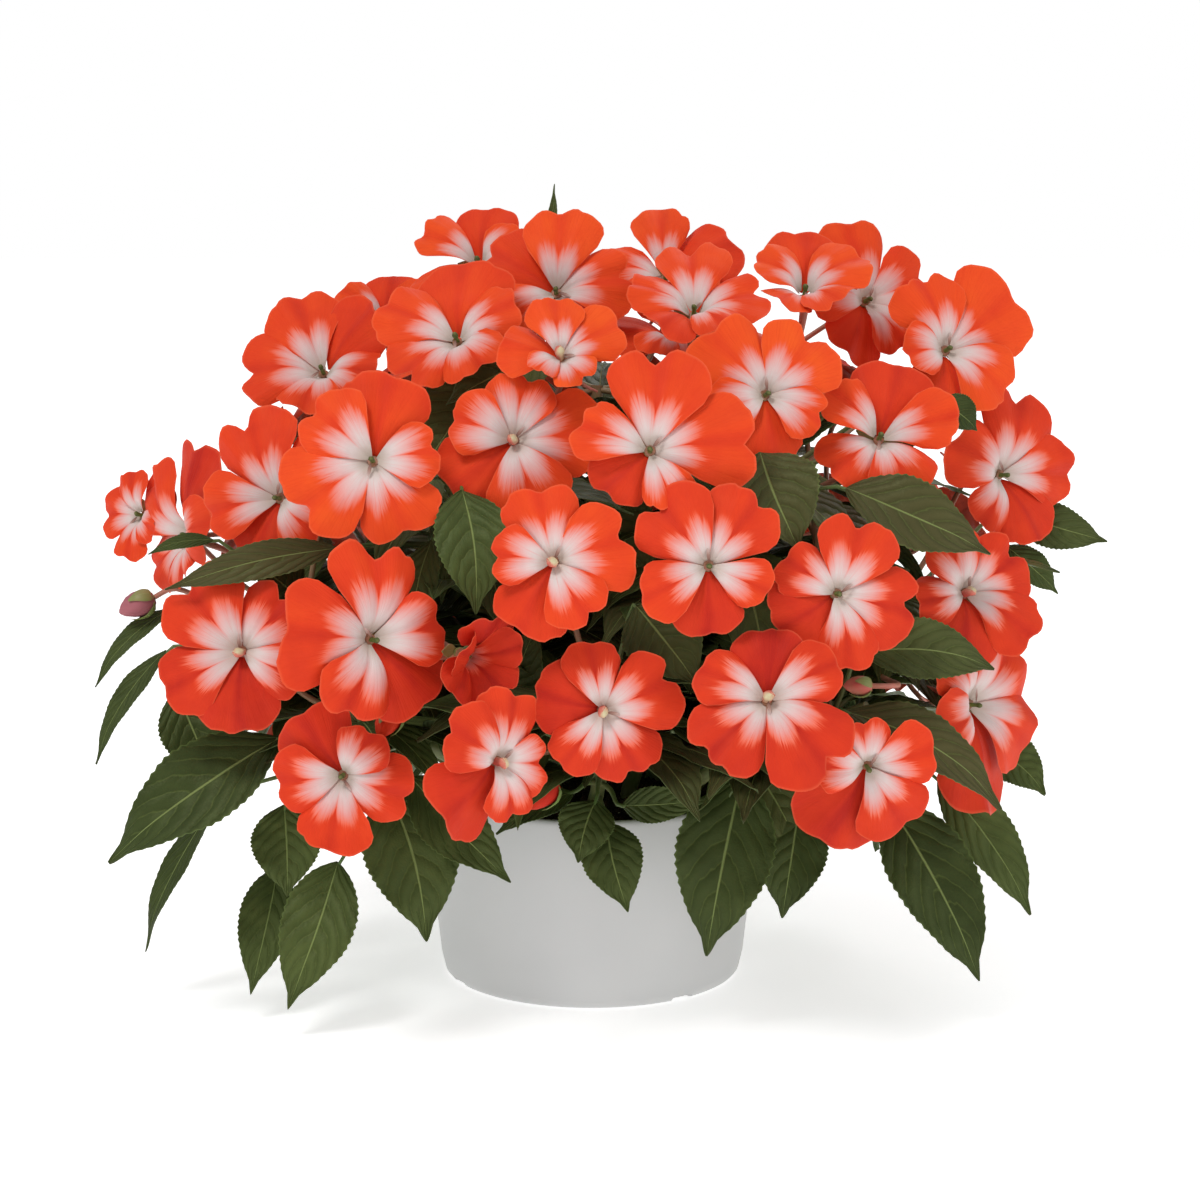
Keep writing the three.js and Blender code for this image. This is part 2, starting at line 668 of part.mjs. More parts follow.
for (const ring of BACK_LEAVES) {
  const stations = SMALL_LEAF_STATIONS;
  ring.bearings.forEach((bearing, i) => {
    const choices = [];
    for (const turn of BACK_TURNS) {
      const base = pointAround(bearing + turn, ring.base);
      const sway = spread(i + ring.width, -9, 9);
      const tip = pointAround(bearing + turn + sway, ring.tip);
      const normal = tip.clone().setZ(0).normalize().add(upward);
      for (const { at, stem } of jointsAround(base).filter((_, k) => k % 4 === 0).slice(0, 6)) {
        choices.push({ joint: at, base, tip, width: ring.width, normal, stations, stem });
      }
    }
    settleLeaf(choices);
  });
}

// Flower stalks: from a bloom's or a bud's back along its axis, then down to a stem
function stalkRoute(frame, backOf, joint, straight, detour) {
  const start = vector(0, 0, backOf - SEAT_GAP).applyMatrix4(frame);
  const axis = vector().setFromMatrixColumn(frame, 2);
  const middle = start.clone().addScaledVector(axis, -straight);
  const late = middle.clone().lerp(joint, 0.5).add(vector(...detour)).addScaledVector(upward, -4);
  return [start, middle, late, joint];
}

function clearStalk(frame, backOf, straight, joints, strict) {
  for (const detour of STALK_DETOURS) {
    for (const { at, stem } of joints) {
      for (const reach of [straight, straight * 0.5, straight * 1.6]) {
        const route = stalkRoute(frame, backOf, at, reach, detour);
        const envelope = solidOf(rodAlong(route, PEDICEL_RADIUS + CLEARANCE / 4, 3, STALK_STEPS));
        if (isClear(envelope, stem.name, strict)) return { route, envelope, stem };
      }
    }
  }
  return null;
}

function settleStalk(name, frame, backOf, straight) {
  const back = vector(0, 0, backOf - straight).applyMatrix4(frame);
  const joints = jointsAround(back);
  const found =
    clearStalk(frame, backOf, straight, joints, true) ??
    clearStalk(frame, backOf, straight, joints, false);
  if (!found) throw new Error(`${name} finds no stem to hang on`);
  remember(found.envelope, found.stem.name);
  found.stem.pieces.push(rodAlong(found.route, PEDICEL_RADIUS, 3, STALK_STEPS));
}

for (const { name, frame } of viewBlooms) settleStalk(name, frame, HUB.back, 18);
for (const { name, frame } of buds) settleStalk(name, frame, 0, 8);

// Each back bloom joins the nearest knuckle that its stalk reaches
for (const { name, radius, frame } of backBlooms) {
  const centre = vector().setFromMatrixPosition(frame);
  const apart = ({ knuckle }) => knuckle.distanceTo(centre);
  const own = neighbours.find((other) => other.owner === name);
  let found = null;
  for (const spray of [...sprays].sort((a, b) => apart(a) - apart(b)).slice(0, 3)) {
    own.owner = spray.name;
    const joints = [{ at: spray.knuckle, stem: spray }];
    found = clearStalk(frame, HUB.back + 2, 16, joints, false);
    if (found) break;
  }
  if (!found) throw new Error(`${name} finds no way to a knuckle`);
  const { stem: spray, route, envelope } = found;
  remember(envelope, spray.name);
  spray.pieces.push(rodAlong(route, PEDICEL_RADIUS, 3, STALK_STEPS));
  spray.pieces.push(placed(bloomShell(radius, 0, PETAL_THICKNESS), frame));
}

// Whorls: each shoot's own leaves, left out where neither turn stands clear
stems.forEach((stem, s) => {
  WHORLS.forEach(({ along, length, rise }, w) => {
    const joint = stem.curve.getPointAt(along);
    for (let i = 0; i < stem.leaves[w]; i++) {
      const first = (360 * i) / stem.leaves[w] + spread(s * 3 + w, 0, 360);
      const choices = WHORL_TURNS.map((turn) => {
        const out = vector(Math.sin(radians(first + turn)), -Math.cos(radians(first + turn)), 0);
        const lift = Math.tan(radians(rise));
        const base = joint.clone().addScaledVector(out, 14).addScaledVector(upward, 14 * lift);
        const tip = base.clone().addScaledVector(out, length);
        tip.addScaledVector(upward, length * (lift - 0.25));
        const width = length * WHORL_LEAF_WIDTH;
        return { joint, base, tip, width, normal: upward, stations: SMALL_LEAF_STATIONS, stem };
      });
      settleLeaf(choices);
    }
  });
});

// Pot: one turned shell with a centre pad, a foot ring, drain holes and notches in the ring
function potSolid() {
  const flare = (RIM_RADIUS - BASE_RADIUS) / POT_HEIGHT;
  const wallAt = (z) => BASE_RADIUS + flare * z;
  const ringInside = BASE_RADIUS - FOOT_RING_WIDTH;
  const profile = [
    [0, 0],
    [CENTRE_PAD_RADIUS, 0],
    [CENTRE_PAD_RADIUS + 1.5, FOOT_RECESS],
    [ringInside - 1.5, FOOT_RECESS],
    [ringInside, 0],
    [BASE_RADIUS - 3, 0],
    [BASE_RADIUS - 0.6, 2],
    [wallAt(9), 9],
    [RIM_RADIUS - 0.3, POT_HEIGHT - 1],
    [RIM_RADIUS - 1, POT_HEIGHT],
    [RIM_RADIUS - POT_WALL, POT_HEIGHT],
    [wallAt(POT_FLOOR) - POT_WALL, POT_FLOOR],
    [0, POT_FLOOR],
  ];
  const shell = new THREE.LatheGeometry(profile.map(([r, z]) => new THREE.Vector2(r, z)), 30);
  let pot = solidOf(shell.rotateX(Math.PI / 2));
  for (let i = 0; i < DRAIN_HOLES; i++) {
    const angle = (2 * Math.PI * i) / DRAIN_HOLES;
    const hole = new THREE.CylinderGeometry(DRAIN_RADIUS, DRAIN_RADIUS, 20, 6);
    hole.rotateX(Math.PI / 2).translate(DRAIN_RING * Math.cos(angle), DRAIN_RING * Math.sin(angle), 0);
    pot = pot.subtract(solidOf(hole));
  }
  for (const bearing of FOOT_NOTCHES) {
    const notch = new THREE.BoxGeometry(NOTCH.width, NOTCH.depth, 2 * NOTCH.height);
    notch.translate(0, -BASE_RADIUS + 3, 0).rotateZ(radians(bearing));
    pot = pot.subtract(solidOf(notch));
  }
  return pot;
}

// Soil: a mounded plug with a plain hole for each root
function soilSolid() {
  const flare = (RIM_RADIUS - BASE_RADIUS) / POT_HEIGHT;
  const bottom = POT_FLOOR + SEAT_GAP;
  const radiusAt = (z) => BASE_RADIUS + flare * z - POT_WALL - 2 * SEAT_GAP;
  const profile = [
    [0, bottom],
    [radiusAt(bottom), bottom],
    [radiusAt(SOIL_TOP - 3), SOIL_TOP - 3],
    [radiusAt(SOIL_TOP) * 0.8, SOIL_TOP],
    [radiusAt(SOIL_TOP) * 0.35, SOIL_TOP + SOIL_MOUND],
    [0, SOIL_TOP + SOIL_MOUND],
  ];
  const plug = new THREE.LatheGeometry(profile.map(([r, z]) => new THREE.Vector2(r, z)), 20);
  let soil = solidOf(plug.rotateX(Math.PI / 2));
  const holeRadius = ROOT_RADIUS + SEAT_GAP;
  for (const { foot } of SHOOTS) {
    const hole = new THREE.CylinderGeometry(holeRadius, holeRadius, 40, 6).rotateX(Math.PI / 2);
    hole.translate(foot[0], foot[1], SOIL_TOP - ROOT_DEPTH - SEAT_GAP + 20);
    soil = soil.subtract(solidOf(hole));
  }
  return soil;
}

const group = new THREE.Group();

function addMesh(name, geometry, { color, roughness }, frame) {
  const material = new THREE.MeshStandardMaterial({ color, roughness, metalness: 0 });
  const mesh = new THREE.Mesh(geometry, material);
  mesh.name = name;
  if (frame) frame.decompose(mesh.position, mesh.quaternion, mesh.scale);
  group.add(mesh);
}

const POT_FINISH = { color: 0xc9c9c8, roughness: 0.45 };
const SOIL_FINISH = { color: 0x3a2a1e, roughness: 1 };
const LEAF_FINISH = { color: 0x46602f, roughness: 0.6 };
const BLOOM_FINISH = { color: 0xf04b23, roughness: 0.6 };
const BUD_FINISH = { color: 0xd9674a, roughness: 0.6 };

addMesh("pot", geometryOf(neighbours[0].solid), POT_FINISH);
addMesh("soil", geometryOf(neighbours[1].solid), SOIL_FINISH);
for (const { name, radius, cup, frame } of viewBlooms) {
  addMesh(name, bloomShell(radius, cup, PETAL_THICKNESS), BLOOM_FINISH, frame);
}
for (const { name, geometry, frame } of buds) addMesh(name, geometry, BUD_FINISH, frame);
for (const { name, pieces } of sprays) addMesh(name, geometryOf(fused(pieces)), BLOOM_FINISH);
for (const { name, pieces } of stems) addMesh(name, geometryOf(fused(pieces)), LEAF_FINISH);

export default group;
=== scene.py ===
import logging
import math
from dataclasses import dataclass, field, replace
from enum import Enum

import bmesh
import bpy
import numpy as np
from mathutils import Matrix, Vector
from mathutils.kdtree import KDTree


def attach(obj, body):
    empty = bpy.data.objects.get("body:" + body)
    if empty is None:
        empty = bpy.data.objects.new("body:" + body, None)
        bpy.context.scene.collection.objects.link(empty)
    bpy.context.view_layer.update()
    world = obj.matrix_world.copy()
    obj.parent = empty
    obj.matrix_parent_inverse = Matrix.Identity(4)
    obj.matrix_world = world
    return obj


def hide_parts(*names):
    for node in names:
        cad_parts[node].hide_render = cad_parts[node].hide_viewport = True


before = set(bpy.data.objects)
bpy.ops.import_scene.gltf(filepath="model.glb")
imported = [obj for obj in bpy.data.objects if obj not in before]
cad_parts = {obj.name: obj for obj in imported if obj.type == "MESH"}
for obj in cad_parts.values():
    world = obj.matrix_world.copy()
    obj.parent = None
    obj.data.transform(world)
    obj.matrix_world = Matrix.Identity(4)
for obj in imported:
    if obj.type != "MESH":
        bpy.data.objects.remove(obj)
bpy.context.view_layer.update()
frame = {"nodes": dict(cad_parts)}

# The potted New Guinea impatiens. Sizes are in millimetres and become metres in the meshes.
# The plant is seen from -Y, with +X to the right, and the origin is under the pot's centre.
MM = 0.001
UP = np.array([0.0, 0.0, 1.0])
Array = np.ndarray
Socket = bpy.types.NodeSocket
Colour = tuple[float, float, float]
Stops = tuple[tuple[float, Colour], ...]
log = logging.getLogger("impatiens")


def unit(vector: Array) -> Array:
    """Returns the vector at length one."""
    return vector / np.linalg.norm(vector)


def spread(index: float, low: float, high: float) -> float:
    """Spreads repeats evenly between two values by the golden ratio's multiples."""
    return low + (high - low) * ((index * 0.6180339887) % 1)


def smooth(value: Array | float, low: float, high: float) -> Array:
    """Returns 0 below low, 1 above high and a smooth rise between them."""
    part = np.clip((value - low) / (high - low), 0, 1)
    return part * part * (3 - 2 * part)


def turned(vector: Array, axis: Array, degrees: float) -> Array:
    """Turns a vector about a unit axis."""
    angle = math.radians(degrees)
    across = np.cross(axis, vector) * math.sin(angle)
    return vector * math.cos(angle) + across + axis * np.dot(axis, vector) * (1 - math.cos(angle))


def spun(x: Array | float, y: Array | float, angle: Array | float) -> tuple[Array, Array]:
    """Turns a pair of coordinates by an angle in radians."""
    return x * np.cos(angle) - y * np.sin(angle), x * np.sin(angle) + y * np.cos(angle)


def axes(way: Array, plain: Array) -> Array:
    """Returns three axes as columns: z is the way, and y is as near to plain as it can be."""
    z = unit(way)
    y = unit(plain - z * np.dot(plain, z))
    return np.stack([np.cross(y, z), y, z], axis=1)


def around(bearing: float, distance: float, height: float) -> Array:
    """Returns the point at a bearing from the front, this far from the pot's axis."""
    angle = math.radians(bearing)
    return np.array([distance * math.sin(angle), -distance * math.cos(angle), height])


@dataclass(frozen=True)
class PhotoView:
    """The photograph's lines of sight, in its frame of 1200 by 1200 pixels."""

    middle: float = 600.0
    mm_per_pixel: float = 0.44
    distance: float = 1467.0
    elevation: float = math.radians(11)
    aim: tuple[float, float, float] = (3.5, 0.0, 166.8)

    @property
    def right(self) -> Array:
        """The way to the right in the picture."""
        return np.array([1.0, 0.0, 0.0])

    @property
    def up(self) -> Array:
        """The way up in the picture."""
        return np.array([0.0, math.sin(self.elevation), math.cos(self.elevation)])

    @property
    def viewer(self) -> Array:
        """The way from the plant to the camera."""
        return np.array([0.0, -math.cos(self.elevation), math.sin(self.elevation)])

    @property
    def eye(self) -> Array:
        """The camera's place."""
        return np.array(self.aim) + self.viewer * self.distance

    def sight(self, px: float, py: float) -> Array:
        """Returns the direction of a pixel's line of sight."""
        aside = self.right * (px - self.middle) + self.up * (self.middle - py)
        return unit(aside * self.mm_per_pixel - self.viewer * self.distance)

    def point(self, px: float, py: float, nearness: float) -> Array:
        """Returns the point of a pixel that lies this far in front of the pot's axis."""
        ray = self.sight(px, py)
        return self.eye + ray * ((-nearness - self.eye[1]) / ray[1])

    def facing(self, yaw: float, pitch: float) -> Array:
        """Returns the way a bloom faces, turned to the right and up from the viewer."""
        a, b = math.radians(yaw), math.radians(pitch)
        level = self.viewer * math.cos(a) + self.right * math.sin(a)
        return level * math.cos(b) + self.up * math.sin(b)

    def clock(self, hour: float) -> Array:
        """Returns the direction of a clock hour in the picture."""
        angle = hour * math.tau / 12
        return self.right * math.sin(angle) + self.up * math.cos(angle)


@dataclass(frozen=True)
class Dome:
    """The dome that the blooms lie on."""

    centre: Array = field(default_factory=lambda: np.array([3.0, -5.0, 135.0]))
    radii: Array = field(default_factory=lambda: np.array([180.0, 170.0, 176.0]))

    def seen_at(self, view: PhotoView, px: float, py: float) -> Array:
        """Returns a pixel's point on the dome, or the nearest to it beside the dome."""
        start = (view.eye - self.centre) / self.radii
        ray = unit(view.sight(px, py) / self.radii)
        half = np.dot(start, ray)
        inside = half * half - (np.dot(start, start) - 1)
        reach = -half - math.sqrt(max(inside, 0.0))
        return (start + ray * reach) * self.radii + self.centre

    def point(self, bearing: float, height: float) -> tuple[Array, Array]:
        """Returns the point at a bearing and a height angle, and the way out from it."""
        angle = math.radians(height)
        out = around(bearing, math.cos(angle), math.sin(angle))
        return out * self.radii + self.centre, out

    def share(self, point: Array) -> float:
        """Returns how far out a point is, as a share of the dome's radii."""
        return float(np.linalg.norm((point - self.centre) / self.radii))


class SolidCorners:
    """The corners of the frame's solids, which tell where each piece was settled."""

    def __init__(self, nodes: dict[str, bpy.types.Object]) -> None:
        """Puts the corners of each node, by its name, in a search tree."""
        self.trees: dict[str, KDTree] = {}
        for name, node in nodes.items():
            tree = KDTree(len(node.data.vertices))
            for vertex in node.data.vertices:
                tree.insert(vertex.co, vertex.index)
            tree.balance()
            self.trees[name] = tree

    def nearest(self, names: list[str], point: Array) -> tuple[float, str]:
        """Returns the least distance to the named nodes' corners, and the node it is on."""
        return min((self.trees[name].find(Vector(point * MM))[2] / MM, name) for name in names)

    def best(self, names: list[str], points: list[Array]) -> tuple[float, str, int]:
        """Returns the least distance of several points, the node it is on and the point's number."""
        return min((*self.nearest(names, point), number) for number, point in enumerate(points))


VIEW = PhotoView()
DOME = Dome()
CORNERS = SolidCorners(frame["nodes"])


# Surfaces


class Surface(Enum):
    """The surfaces that a piece can wear."""

    PETAL = "petal_skin"
    COLUMN = "flower_column"
    THROAT = "flower_throat"
    CALYX = "calyx_skin"
    LEAF = "leaf_blade"
    STALK = "stalk_skin"
    POT = "pot_satin"
    SOIL = "potting_soil"
    CRUMB = "soil_crumb"
    GRIT = "white_grit"


VEIN_PARTS = ("Midrib", "Side veins", "Cushion")


class NodeBoard:
    """A node tree with short calls for the nodes that the pieces use."""

    def __init__(self, tree: bpy.types.NodeTree) -> None:
        """Takes the tree to fill."""
        self.tree = tree

    def add(self, kind: str, **settings: object) -> bpy.types.Node:
        """Adds a node and sets its properties."""
        node = self.tree.nodes.new(kind)
        for name, value in settings.items():
            setattr(node, name, value)
        return node

    def join(self, value: object, socket: Socket) -> None:
        """Links a socket, or sets a plain value, on an input."""
        if isinstance(value, Socket):
            self.tree.links.new(value, socket)
        else:
            socket.default_value = value

    def put(self, kind: str, inputs: dict[str, object], **settings: object) -> Socket:
        """Adds a node, joins its inputs by name and returns its first output."""
        node = self.add(kind, **settings)
        for name, value in inputs.items():
            self.join(value, node.inputs[name])
        return node.outputs[0]

    def math(self, operation: str, *values: object, clamp: bool = False) -> Socket:
        """Adds a math node and returns its result."""
        node = self.add("ShaderNodeMath", operation=operation, use_clamp=clamp)
        for value, socket in zip(values, node.inputs):
            self.join(value, socket)
        return node.outputs[0]

    def times(self, first: object, second: object) -> Socket:
        """Returns the product of two values."""
        return self.math("MULTIPLY", first, second)

    def plus(self, first: object, second: object, clamp: bool = False) -> Socket:
        """Returns the sum of two values."""
        return self.math("ADD", first, second, clamp=clamp)

    def less(self, first: object, second: object, clamp: bool = False) -> Socket:
        """Returns the first value without the second."""
        return self.math("SUBTRACT", first, second, clamp=clamp)

    def rest(self, value: object) -> Socket:
        """Returns what a value leaves of one."""
        return self.less(1.0, value)

    def line(self, value: object, slope: object, start: object, clamp: bool = False) -> Socket:
        """Returns a value scaled by a slope and raised by a start."""
        return self.math("MULTIPLY_ADD", value, slope, start, clamp=clamp)

    def step(self, value: object, low: object, high: object) -> Socket:
        """Returns a smooth rise from 0 at low to 1 at high."""
        ends = {"Value": value, "From Min": low, "From Max": high}
        return self.put("ShaderNodeMapRange", ends, interpolation_type="SMOOTHSTEP")

    def noise(self, vector: object, scale: object, detail: float = 2.0) -> Socket:
        """Returns a noise value over a vector."""
        return self.put("ShaderNodeTexNoise", {"Vector": vector, "Scale": scale, "Detail": detail})

    def vector(self, x: object, y: object, z: object) -> Socket:
        """Joins three values into a vector."""
        return self.put("ShaderNodeCombineXYZ", {"X": x, "Y": y, "Z": z})

    def group(self, tree: bpy.types.NodeTree, **values: object) -> bpy.types.NodeOutputs:
        """Places a shared group, sets its inputs and returns its outputs."""
        node = self.add("ShaderNodeGroup", node_tree=tree)
        for name, value in values.items():
            self.join(value, node.inputs[name.replace("_", " ").capitalize()])
        return node.outputs


class SharedTree(NodeBoard):
    """A group of nodes with named inputs and outputs, each of a sort of socket or with a value."""

    def __init__(self, name: str, kind: str, inputs: dict[str, object], outputs: dict[str, str]) -> None:
        """Builds the empty group.

        Args:
            name: the group's name.
            kind: the type of its tree.
            inputs: by name, a default value, or the sort of socket where it has none.
            outputs: by name, the sort of socket.
        """
        super().__init__(bpy.data.node_groups.new(name, kind))
        sorts = {tuple: "Vector", float: "Float", int: "Int"}
        for label, value in inputs.items():
            sort = value if isinstance(value, str) else sorts[type(value)]
            socket = self.tree.interface.new_socket(label, in_out="INPUT", socket_type=f"NodeSocket{sort}")
            if not isinstance(value, str):
                socket.default_value = value
        for label, sort in outputs.items():
            self.tree.interface.new_socket(label, in_out="OUTPUT", socket_type=f"NodeSocket{sort}")
        self.given = self.add("NodeGroupInput").outputs
        self.result = self.add("NodeGroupOutput").inputs

    def finish(self, values: dict[str, Socket]) -> bpy.types.NodeTree:
        """Joins the group's outputs and returns its tree."""
        for name, value in values.items():
            self.join(value, self.result[name])
        return self.tree

    def dressed(self, shape: Socket) -> Socket:
        """Makes copies real and gives them the skin that the group is handed."""
        real = self.put("GeometryNodeRealizeInstances", {"Geometry": shape})
        return self.put("GeometryNodeSetMaterial", {"Geometry": real, "Material": self.given["Skin"]})


def mottle_group() -> bpy.types.NodeTree:
    """Builds the mottle that living skins, soil and plastic share: broad patches and fine grain."""
    inputs = {"Place": (0.0, 0.0, 0.0), "Broad scale": 60.0, "Fine scale": 900.0}
    board = SharedTree("Mottle", "ShaderNodeTree", inputs, {"Broad": "Float", "Fine": "Float"})
    details = {"Broad": 3.0, "Fine": 2.0}
    given = board.given
    return board.finish({
        name: board.noise(given["Place"], given[f"{name} scale"], detail) for name, detail in details.items()
    })


def veins_group() -> bpy.types.NodeTree:
    """Builds the veins that leaves and calyxes share: a midrib and side veins that sweep to the tip."""
    inputs = {"Across": 0.0, "Along": 0.0, "Count": 9.0, "Sweep": 0.2, "Seed": 0.0}
    board = SharedTree("Leaf veins", "ShaderNodeTree", inputs, {name: "Float" for name in VEIN_PARTS})
    across, along, count, sweep, seed = (board.given[name] for name in inputs)
    away = board.math("ABSOLUTE", across)
    bend = board.times(board.math("POWER", away, 1.35), sweep)
    side = board.times(board.math("SIGN", across), 0.21)
    lines = board.times(board.less(along, bend), count)
    wander = board.noise(board.vector(across, along, seed), 5.0)
    lines = board.plus(board.plus(lines, side), board.times(wander, 0.5))
    saw = board.math("ABSOLUTE", board.less(board.math("FRACT", lines), 0.5))
    side_veins = board.times(board.rest(board.step(saw, 0.0, 0.09)), board.rest(board.step(away, 0.7, 1.0)))
    midrib = board.rest(board.step(away, 0.012, board.line(along, -0.024, 0.054)))
    cushion = board.math("SINE", board.times(saw, math.pi))
    return board.finish(dict(zip(VEIN_PARTS, (midrib, side_veins, cushion))))


@dataclass(frozen=True)
class Gloss:
    """How a surface takes light, and the scales of its mottle: values that are the same all over it."""

    specular: float
    broad: float
    fine: float
    tint: Colour = (1.0, 1.0, 1.0)
    bending: float = 1.45


GLOSSES = {
    Surface.PETAL: Gloss(0.25, 70.0, 700.0, (1.0, 0.75, 0.65), 1.3),
    Surface.COLUMN: Gloss(0.4, 500.0, 2400.0),
    Surface.THROAT: Gloss(0.3, 400.0, 1800.0),
    Surface.CALYX: Gloss(0.45, 180.0, 1500.0),
    Surface.LEAF: Gloss(0.4, 55.0, 1300.0, (0.85, 0.95, 0.5), 1.35),
    Surface.STALK: Gloss(0.45, 120.0, 1200.0),
    Surface.POT: Gloss(0.45, 14.0, 1500.0),
    Surface.SOIL: Gloss(0.25, 160.0, 900.0),
    Surface.CRUMB: Gloss(0.25, 260.0, 1400.0),
    Surface.GRIT: Gloss(0.3, 420.0, 1600.0),
}


class Coat(NodeBoard):
    """A material in the making: its shader, and the shared mottle on its object coordinates."""

    def __init__(self, surface: Surface, mottle: bpy.types.NodeTree) -> None:
        """Starts the material with its plain values."""
        self.surface = surface
        self.material = bpy.data.materials.new(surface.value)
        self.material.use_nodes = True
        super().__init__(self.material.node_tree)
        gloss = GLOSSES[surface]
        self.shader = self.tree.nodes["Principled BSDF"].inputs
        self.shader["Specular IOR Level"].default_value = gloss.specular
        self.shader["Specular Tint"].default_value = (*gloss.tint, 1.0)
        self.shader["IOR"].default_value = gloss.bending
        self.place = self.add("ShaderNodeTexCoord").outputs["Object"]
        patches = self.group(mottle, Place=self.place, Broad_scale=gloss.broad, Fine_scale=gloss.fine)
        self.broad, self.fine = patches["Broad"], patches["Fine"]

    def mark(self, name: str) -> Socket:
        """Returns one of the mesh's own values."""
        return self.add("ShaderNodeAttribute", attribute_name=name).outputs["Fac"]

    def surface_uv(self) -> tuple[Socket, Socket]:
        """Returns the coordinates across and along a blade: -1 to 1, and 0 to 1."""
        split = self.add("ShaderNodeSeparateXYZ")
        self.join(self.add("ShaderNodeUVMap", uv_map="surface").outputs[0], split.inputs[0])
        return self.line(split.outputs[0], 2.0, -1.0), split.outputs[1]

    def mix(self, factor: object, first: Socket | Colour, second: Socket | Colour) -> Socket:
        """Mixes two colours and returns the result."""
        node = self.add("ShaderNodeMix", data_type="RGBA")
        self.join(factor, node.inputs[0])
        for colour, socket in ((first, node.inputs[6]), (second, node.inputs[7])):
            self.join((*colour, 1.0) if isinstance(colour, tuple) else colour, socket)
        return node.outputs[2]

    def stain(self, colour: Socket | Colour, mask: Socket, share: float, tint: Socket | Colour) -> Socket:
        """Lays a tint over a colour where a mask says, up to a share of it."""
        return self.mix(self.times(mask, share), colour, tint)

    def ramp(self, factor: Socket, stops: Stops) -> Socket:
        """Returns a colour ramp's colour."""
        node = self.add("ShaderNodeValToRGB")
        self.join(factor, node.inputs[0])
        band = node.color_ramp
        while len(band.elements) < len(stops):
            band.elements.new(0.5)
        for element, (place, colour) in zip(band.elements, stops):
            element.position = place
            element.color = (*colour, 1.0)
        return node.outputs[0]

    def wear(
        self, colour: Socket, grain: float, least: float, *relief: object, follows: Socket | None = None
    ) -> bpy.types.Material:
        """Joins colour, roughness and relief to the shader.

        Args:
            colour: the surface's colour.
            grain: how much the mottle adds to the roughness.
            least: the roughness without it.
            relief: a height, its strength and its depth in metres, or nothing.
            follows: what the roughness follows in place of the fine mottle.

        Returns:
            The finished material.
        """
        self.join(colour, self.shader["Base Color"])
        self.join(self.line(follows or self.fine, grain, least), self.shader["Roughness"])
        if relief:
            bump = dict(zip(("Height", "Strength", "Distance"), relief))
            self.join(self.put("ShaderNodeBump", bump), self.shader["Normal"])
        return self.material


# Colour stops, and the white wedge's reach from the middle of a lobe to its side
WHITE_REACH = (
    (0.0, 0.60), (0.05, 0.72), (0.15, 0.85), (0.4, 0.95), (0.62, 0.92), (0.82, 0.77), (0.93, 0.62),
    (1.0, 0.48),
)
# Petal reds from bright to deep; the deeper end serves partly as painted shade.
PETAL_REDS = (
    (0.05, (0.93, 0.125, 0.018)), (0.35, (0.84, 0.080, 0.017)), (0.6, (0.74, 0.052, 0.016)),
    (0.85, (0.60, 0.034, 0.015)), (1.0, (0.47, 0.021, 0.013)),
)
PETAL_BLUSH = (
    (0.0, (0.85, 0.078, 0.016)), (0.2, (0.84, 0.165, 0.105)), (0.45, (0.80, 0.32, 0.285)),
    (0.72, (0.77, 0.48, 0.46)), (0.95, (0.74, 0.63, 0.605)),
)
COLUMN_GREENS = (
    (0.0, (0.30, 0.30, 0.10)), (0.45, (0.12, 0.17, 0.035)), (0.8, (0.05, 0.085, 0.016)),
    (1.0, (0.16, 0.17, 0.05)),
)
COLUMN_ROSES = (
    (0.0, (0.62, 0.10, 0.08)), (0.38, (0.70, 0.20, 0.15)), (0.56, (0.72, 0.44, 0.28)),
    (0.85, (0.70, 0.62, 0.38)),
)
# The spur mouth's browns: painted shade of the spur's opening, dark at its start and paler towards its end.
SPUR_MOUTH_SHADE_BROWNS = ((0.0, (0.16, 0.07, 0.05)), (0.5, (0.36, 0.20, 0.16)), (1.0, (0.66, 0.50, 0.46)))
CALYX_GREENS = ((0.2, (0.17, 0.25, 0.06)), (0.55, (0.33, 0.27, 0.11)), (0.9, (0.58, 0.13, 0.10)))
LEAF_GREENS = (
    (0.0, (0.028, 0.040, 0.012)), (0.35, (0.054, 0.074, 0.022)), (0.7, (0.084, 0.110, 0.032)),
    (1.0, (0.130, 0.160, 0.050)),
)
STALK_GREENS = (
    (0.0, (0.10, 0.17, 0.045)), (0.45, (0.22, 0.20, 0.09)), (0.8, (0.36, 0.15, 0.09)),
    (1.0, (0.60, 0.20, 0.15)),
)
POT_GREYS = ((0.25, (0.635, 0.64, 0.64)), (0.75, (0.675, 0.675, 0.67)))
SOIL_BROWNS = ((0.3, (0.016, 0.010, 0.007)), (0.55, (0.042, 0.026, 0.016)), (0.8, (0.09, 0.058, 0.036)))
CRUMB_BROWNS = ((0.3, (0.022, 0.013, 0.009)), (0.6, (0.075, 0.045, 0.026)), (0.85, (0.16, 0.10, 0.06)))
GRIT_WHITES = ((0.3, (0.34, 0.29, 0.23)), (0.55, (0.66, 0.63, 0.57)))
# The soil's parts: colour stops, least roughness, and the strength and depth of the relief
GROUND = {
    Surface.SOIL: (SOIL_BROWNS, 0.75, 1.0, 0.0015),
    Surface.CRUMB: (CRUMB_BROWNS, 0.72, 0.8, 0.0008),
    Surface.GRIT: (GRIT_WHITES, 0.7, 0.8, 0.0006),
}


